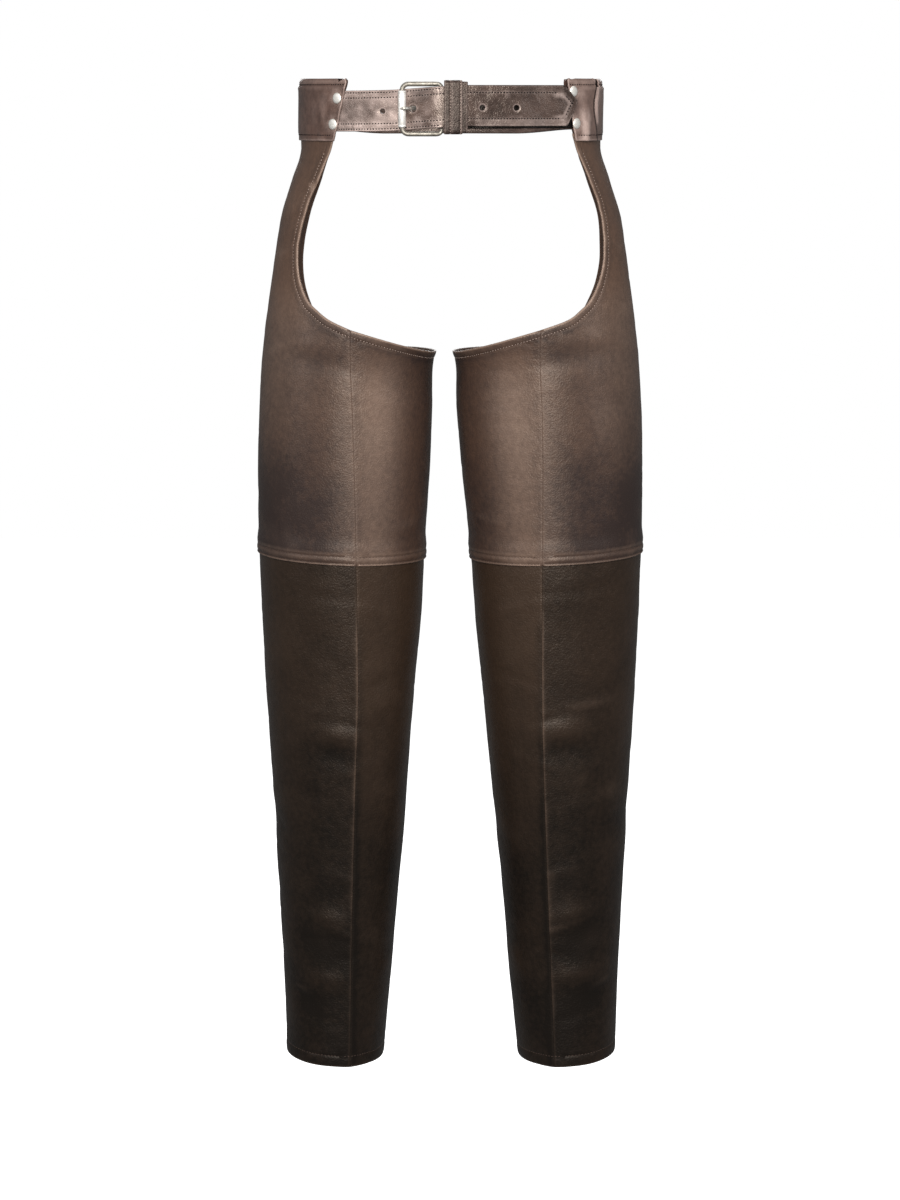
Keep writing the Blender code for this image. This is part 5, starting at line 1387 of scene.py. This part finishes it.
for name, node, grow, last in (
        ("keeper_leather", "keeper", 0.0, KEEPER_END),
        ("keeper_upper_leather", "keeper_upper_ply", KEEPER_PLY + GAP, KEEPER_PLY_END)):
    fine = np.array([0.0, 0.0002, 0.0006, 0.0012, 0.0020])
    even = np.linspace(KEEPER_START + 0.003, last - 0.003, 22)
    stops = np.concatenate([KEEPER_START + fine, even, last - fine[::-1]])
    edge = np.minimum(stops - KEEPER_START, last - stops)
    outer = grow + KEEPER_PLY - 0.0006 * (1.0 - rounded(edge))
    wear = 0.22 * groove(edge, 0.0008, 0.0006) + 0.02
    tone = 0.28 - 0.9 * (1.0 - rounded(edge * 1.5))
    if grow > 0.0:
        for row in KEEPER_ROWS:
            outer -= 0.0004 * groove(stops, row, 0.0007)
            wear += 0.12 * groove(stops, row + 0.0016, 0.001)
    rings = [keeper_ring(out, stop) for out, stop in zip(outer, stops)]
    rings += [keeper_ring(grow, stop) for stop in stops[::-1]]
    loop = rings_object(name, rings, True, KEEPER_LEATHER, np.concatenate([tone, tone * 0.0]),
                        np.concatenate([np.clip(wear, 0, 1), wear * 0.0]))
    finish(loop, "belt_leather", node)
    girth = float(np.linalg.norm(np.diff(keeper_ring(grow + KEEPER_PLY / 2, 0.005), axis=0), axis=1).sum())
    if grow > 0.0:
        rows = []
        for row in KEEPER_ROWS:
            ring = keeper_ring(grow + KEEPER_PLY - 0.00025, row)
            middle = ring.mean(0)
            ring = np.concatenate([ring, ring[:1]])
            out = keeper_ring(grow + KEEPER_PLY + 0.01, row)
            out = np.concatenate([out, out[:1]]) - ring
            rows.append((ring, unit(out)))
        sew("keeper_stitches", rows, PALE_THREAD, "belt_leather", "keeper")


# Buckle and rivets
# Antique nickel plate, rubbed bright where it is touched. The roller is a tube on the frame's left bar, the
# prong loops round the hinge bar and rests on the roller, the rivets have low domed heads. The roller's
# nickel is rubbed bright and also made paler, as a painted highlight.
BUCKLE_MIDDLE, BUCKLE_HEIGHT, BAR_RADIUS = -0.0089, 0.0494, 0.0024
ROLLER_ARC, ROLLER_LIFT, ROLLER_RADIUS, ROLLER_BORE, ROLLER_LENGTH = -0.0463, 0.0090, 0.0040, 0.0028, 0.0364
ROLLER_CORNER, HINGE_CORNER, PRONG_WIDTH, PRONG_DEPTH = 0.0062, 0.0040, 0.0040, 0.0022
RIVET_RADIUS, RIVET_BASE, RIVET_SUNK, RIVET_SIDES = 0.0053, 0.0067, 0.0004, 24


def nickel_material(name, dull, bright, roughness, metallic=1.0):
    made, tree, shader = start_material(name, Metallic=metallic)
    where = node_of(tree, "ShaderNodeTexCoord").outputs["Object"]
    patina = node_of(tree, "ShaderNodeTexNoise", Vector=where, Scale=260.0, Detail=5.0, Roughness=0.7)
    brushed = node_of(tree, "ShaderNodeTexNoise", Vector=where, Scale=1400.0, Detail=2.0)
    ramp = node_of(tree, "ShaderNodeValToRGB", Fac=patina.outputs["Fac"])
    for stop, place, colour in zip(ramp.color_ramp.elements, (0.30, 0.62), (dull, bright)):
        stop.position = place
        stop.color = (*colour, 1.0)
    fill(tree, shader.inputs["Base Color"], ramp.outputs["Color"])
    gloss = node_of(tree, "ShaderNodeMapRange", Value=patina.outputs["Fac"], To_Min=roughness + 0.12,
                    To_Max=roughness - 0.06)
    fill(tree, shader.inputs["Roughness"], gloss.outputs["Result"])
    bumps = node_of(tree, "ShaderNodeBump", Strength=0.12, Distance=0.0002, Height=brushed.outputs["Fac"])
    fill(tree, shader.inputs["Normal"], bumps.outputs["Normal"])
    return made


FRAME_METAL = nickel_material("antique_nickel", (0.15, 0.138, 0.115), (0.34, 0.315, 0.27), 0.46, 0.75)
RUBBED_NICKEL_PAINTED_BRIGHT = nickel_material("rubbed_nickel_painted_bright", (0.66, 0.64, 0.60), (0.92, 0.90, 0.86), 0.45, 0.55)
PRONG_METAL = nickel_material("prong_nickel", (0.30, 0.28, 0.25), (0.62, 0.60, 0.55), 0.38, 0.85)
RIVET_METAL = nickel_material("rivet_nickel", (0.80, 0.77, 0.71), (0.97, 0.95, 0.90), 0.60)


def rod_rings(middles, halves, closed, sides=16):
    """Rings of an oval rod. halves are its half sizes across the strap's face and out of it."""
    rings = []
    for i, middle in enumerate(middles):
        before = middles[i - 1] if closed or i else middles[0]
        after = middles[(i + 1) % len(middles)] if closed or i < len(middles) - 1 else middles[-1]
        run = (after - before) / np.linalg.norm(after - before)
        outward = np.array([middle[0] / WAIST_LEFT**2, middle[1] / WAIST_HALF_DEPTH**2, 0.0])
        beside = np.cross(run, outward)
        beside /= np.linalg.norm(beside)
        outward = np.cross(beside, run)
        turns = np.linspace(0.0, 2 * math.pi, sides, endpoint=False)[:, None]
        rings.append(middle + beside * np.cos(turns) * halves[i][0] + outward * np.sin(turns) * halves[i][1])
    return rings


flat = []
for radius, arc, upward, start in ((HINGE_CORNER, HINGE_ARC, 1, 0), (ROLLER_CORNER, ROLLER_ARC, 1, 90),
                                   (ROLLER_CORNER, ROLLER_ARC, -1, 180), (HINGE_CORNER, HINGE_ARC, -1, 270)):
    inward = -1 if arc == HINGE_ARC else 1
    turns = np.radians(start + np.linspace(0.0, 90.0, 9))
    flat.append(np.stack([arc + inward * radius + radius * np.cos(turns),
                          upward * (BUCKLE_HEIGHT / 2 - radius) + radius * np.sin(turns)], 1))
flat = np.concatenate(flat)
flat = spaced(np.concatenate([flat, flat[:1]]), 0.0011)[:-1]
tilt = (HINGE_LIFT - ROLLER_LIFT) / (HINGE_ARC - ROLLER_ARC)
lifts = ROLLER_LIFT + tilt * (flat[:, 0] - ROLLER_ARC)
middles = belt_points(flat[:, 0], lifts, BUCKLE_MIDDLE + flat[:, 1])[0]
radii = HINGE_RADIUS + (BAR_RADIUS - HINGE_RADIUS) * smooth_step((HINGE_ARC - 0.001 - flat[:, 0]) / 0.005)
frame_bar = rings_object("buckle_frame_metal", rod_rings(middles, np.stack([radii, radii], 1), True), True,
                         FRAME_METAL)
finish(frame_bar, "nickel", "buckle_frame")

middle = belt_points(np.array([ROLLER_ARC]), ROLLER_LIFT, 0.0)[0][0]
half = ROLLER_LENGTH / 2
ROLLER_RIM = ((0.0009, 0.0), (0.0003, 0.0003), (0.0, 0.0009), (0.0, 0.0022), (0.00025, 0.0026), (0.0, 0.0030))
profile = [(ROLLER_BORE, -half)] + [(ROLLER_RADIUS - below, inward - half) for below, inward in ROLLER_RIM]
profile += [(radius, -z) for radius, z in profile[::-1]]
turns = np.linspace(0.0, 2 * math.pi, 32, endpoint=False)
rings = [np.stack([middle[0] + radius * np.cos(turns), middle[1] + radius * np.sin(turns),
                   np.full_like(turns, BUCKLE_MIDDLE + z)], 1) for radius, z in profile]
finish(rings_object("buckle_roller_metal", rings, True, RUBBED_NICKEL_PAINTED_BRIGHT), "nickel", "buckle_roller")

loop = HINGE_RADIUS + GAP + PRONG_DEPTH / 2
turns = np.radians(np.linspace(-150.0, -5.0, 14))
bends = np.stack([HINGE_ARC - loop * np.sin(turns), HINGE_LIFT + loop * np.cos(turns)], 1)
# From the hinge bar the prong dips under the tip strap, comes up through its hole and lies on the roller
PRONG_LINE = (
    (-0.0130, 0.0068), (-0.0205, 0.0039), (-0.0275, 0.0012), (-0.0330, 0.0011), (-0.0360, 0.0040),
    (-0.0384, 0.0092), (-0.0412, 0.0134), (-0.0440, 0.0147), (-0.0468, 0.0146),
)
stations = np.concatenate([bends, PRONG_LINE])
counts = np.arange(len(stations), dtype=float)
fine = np.linspace(0, len(stations) - 1, 90)
table = [(i, *point) for i, point in zip(counts, stations)]
stations = spaced(np.stack([curve_value(table, 1, fine), curve_value(table, 2, fine)], 1), 0.0009)
middles = belt_points(stations[:, 0], stations[:, 1], PRONG_MIDDLE)[0]
ahead = np.arange(len(stations))[::-1] * 0.0009
size = np.sqrt(np.clip(ahead / 0.0022, 0.02, 1.0)) * (0.80 + 0.20 * smooth_step(ahead / 0.012))
halves = np.stack([PRONG_WIDTH / 2 * size, PRONG_DEPTH / 2 * size], 1)
prong = rings_object("buckle_prong_metal", rod_rings(middles, halves, False, 12), False, PRONG_METAL)
finish(prong, "nickel", "buckle_prong")

# The head's height above the leather, and its radius there as a share of the rivet's
RIVET_PROFILE = ((0.0, 0.99), (0.0003, 1.03), (0.0006, 1.02), (0.0010, 0.96), (0.0014, 0.84), (0.0017, 0.62),
                 (0.00185, 0.34), (0.0019, 0.06))
turns = np.linspace(0.0, 2 * math.pi, RIVET_SIDES, endpoint=False)[:, None]
for angle, z in RIVETS:
    base, outward = (value[0] for value in waist_points(np.array([angle]), RIVET_BASE - RIVET_SUNK, z))
    beside = np.array([-outward[1], outward[0], 0.0])
    spokes = (beside * np.cos(turns) + np.array([0.0, 0.0, 1.0]) * np.sin(turns)) * RIVET_RADIUS
    rings = [base + outward * rise + spokes * share for rise, share in RIVET_PROFILE]
    where = f"{'front' if abs(angle) < 90 else 'back'}_{'left' if angle < 0 else 'right'}"
    where += "_upper" if z > -0.01 else "_lower"
    head = rings_object(f"rivet_{where}_metal", rings, False, RIVET_METAL)
    finish(head, "nickel", f"rivet_{where}")
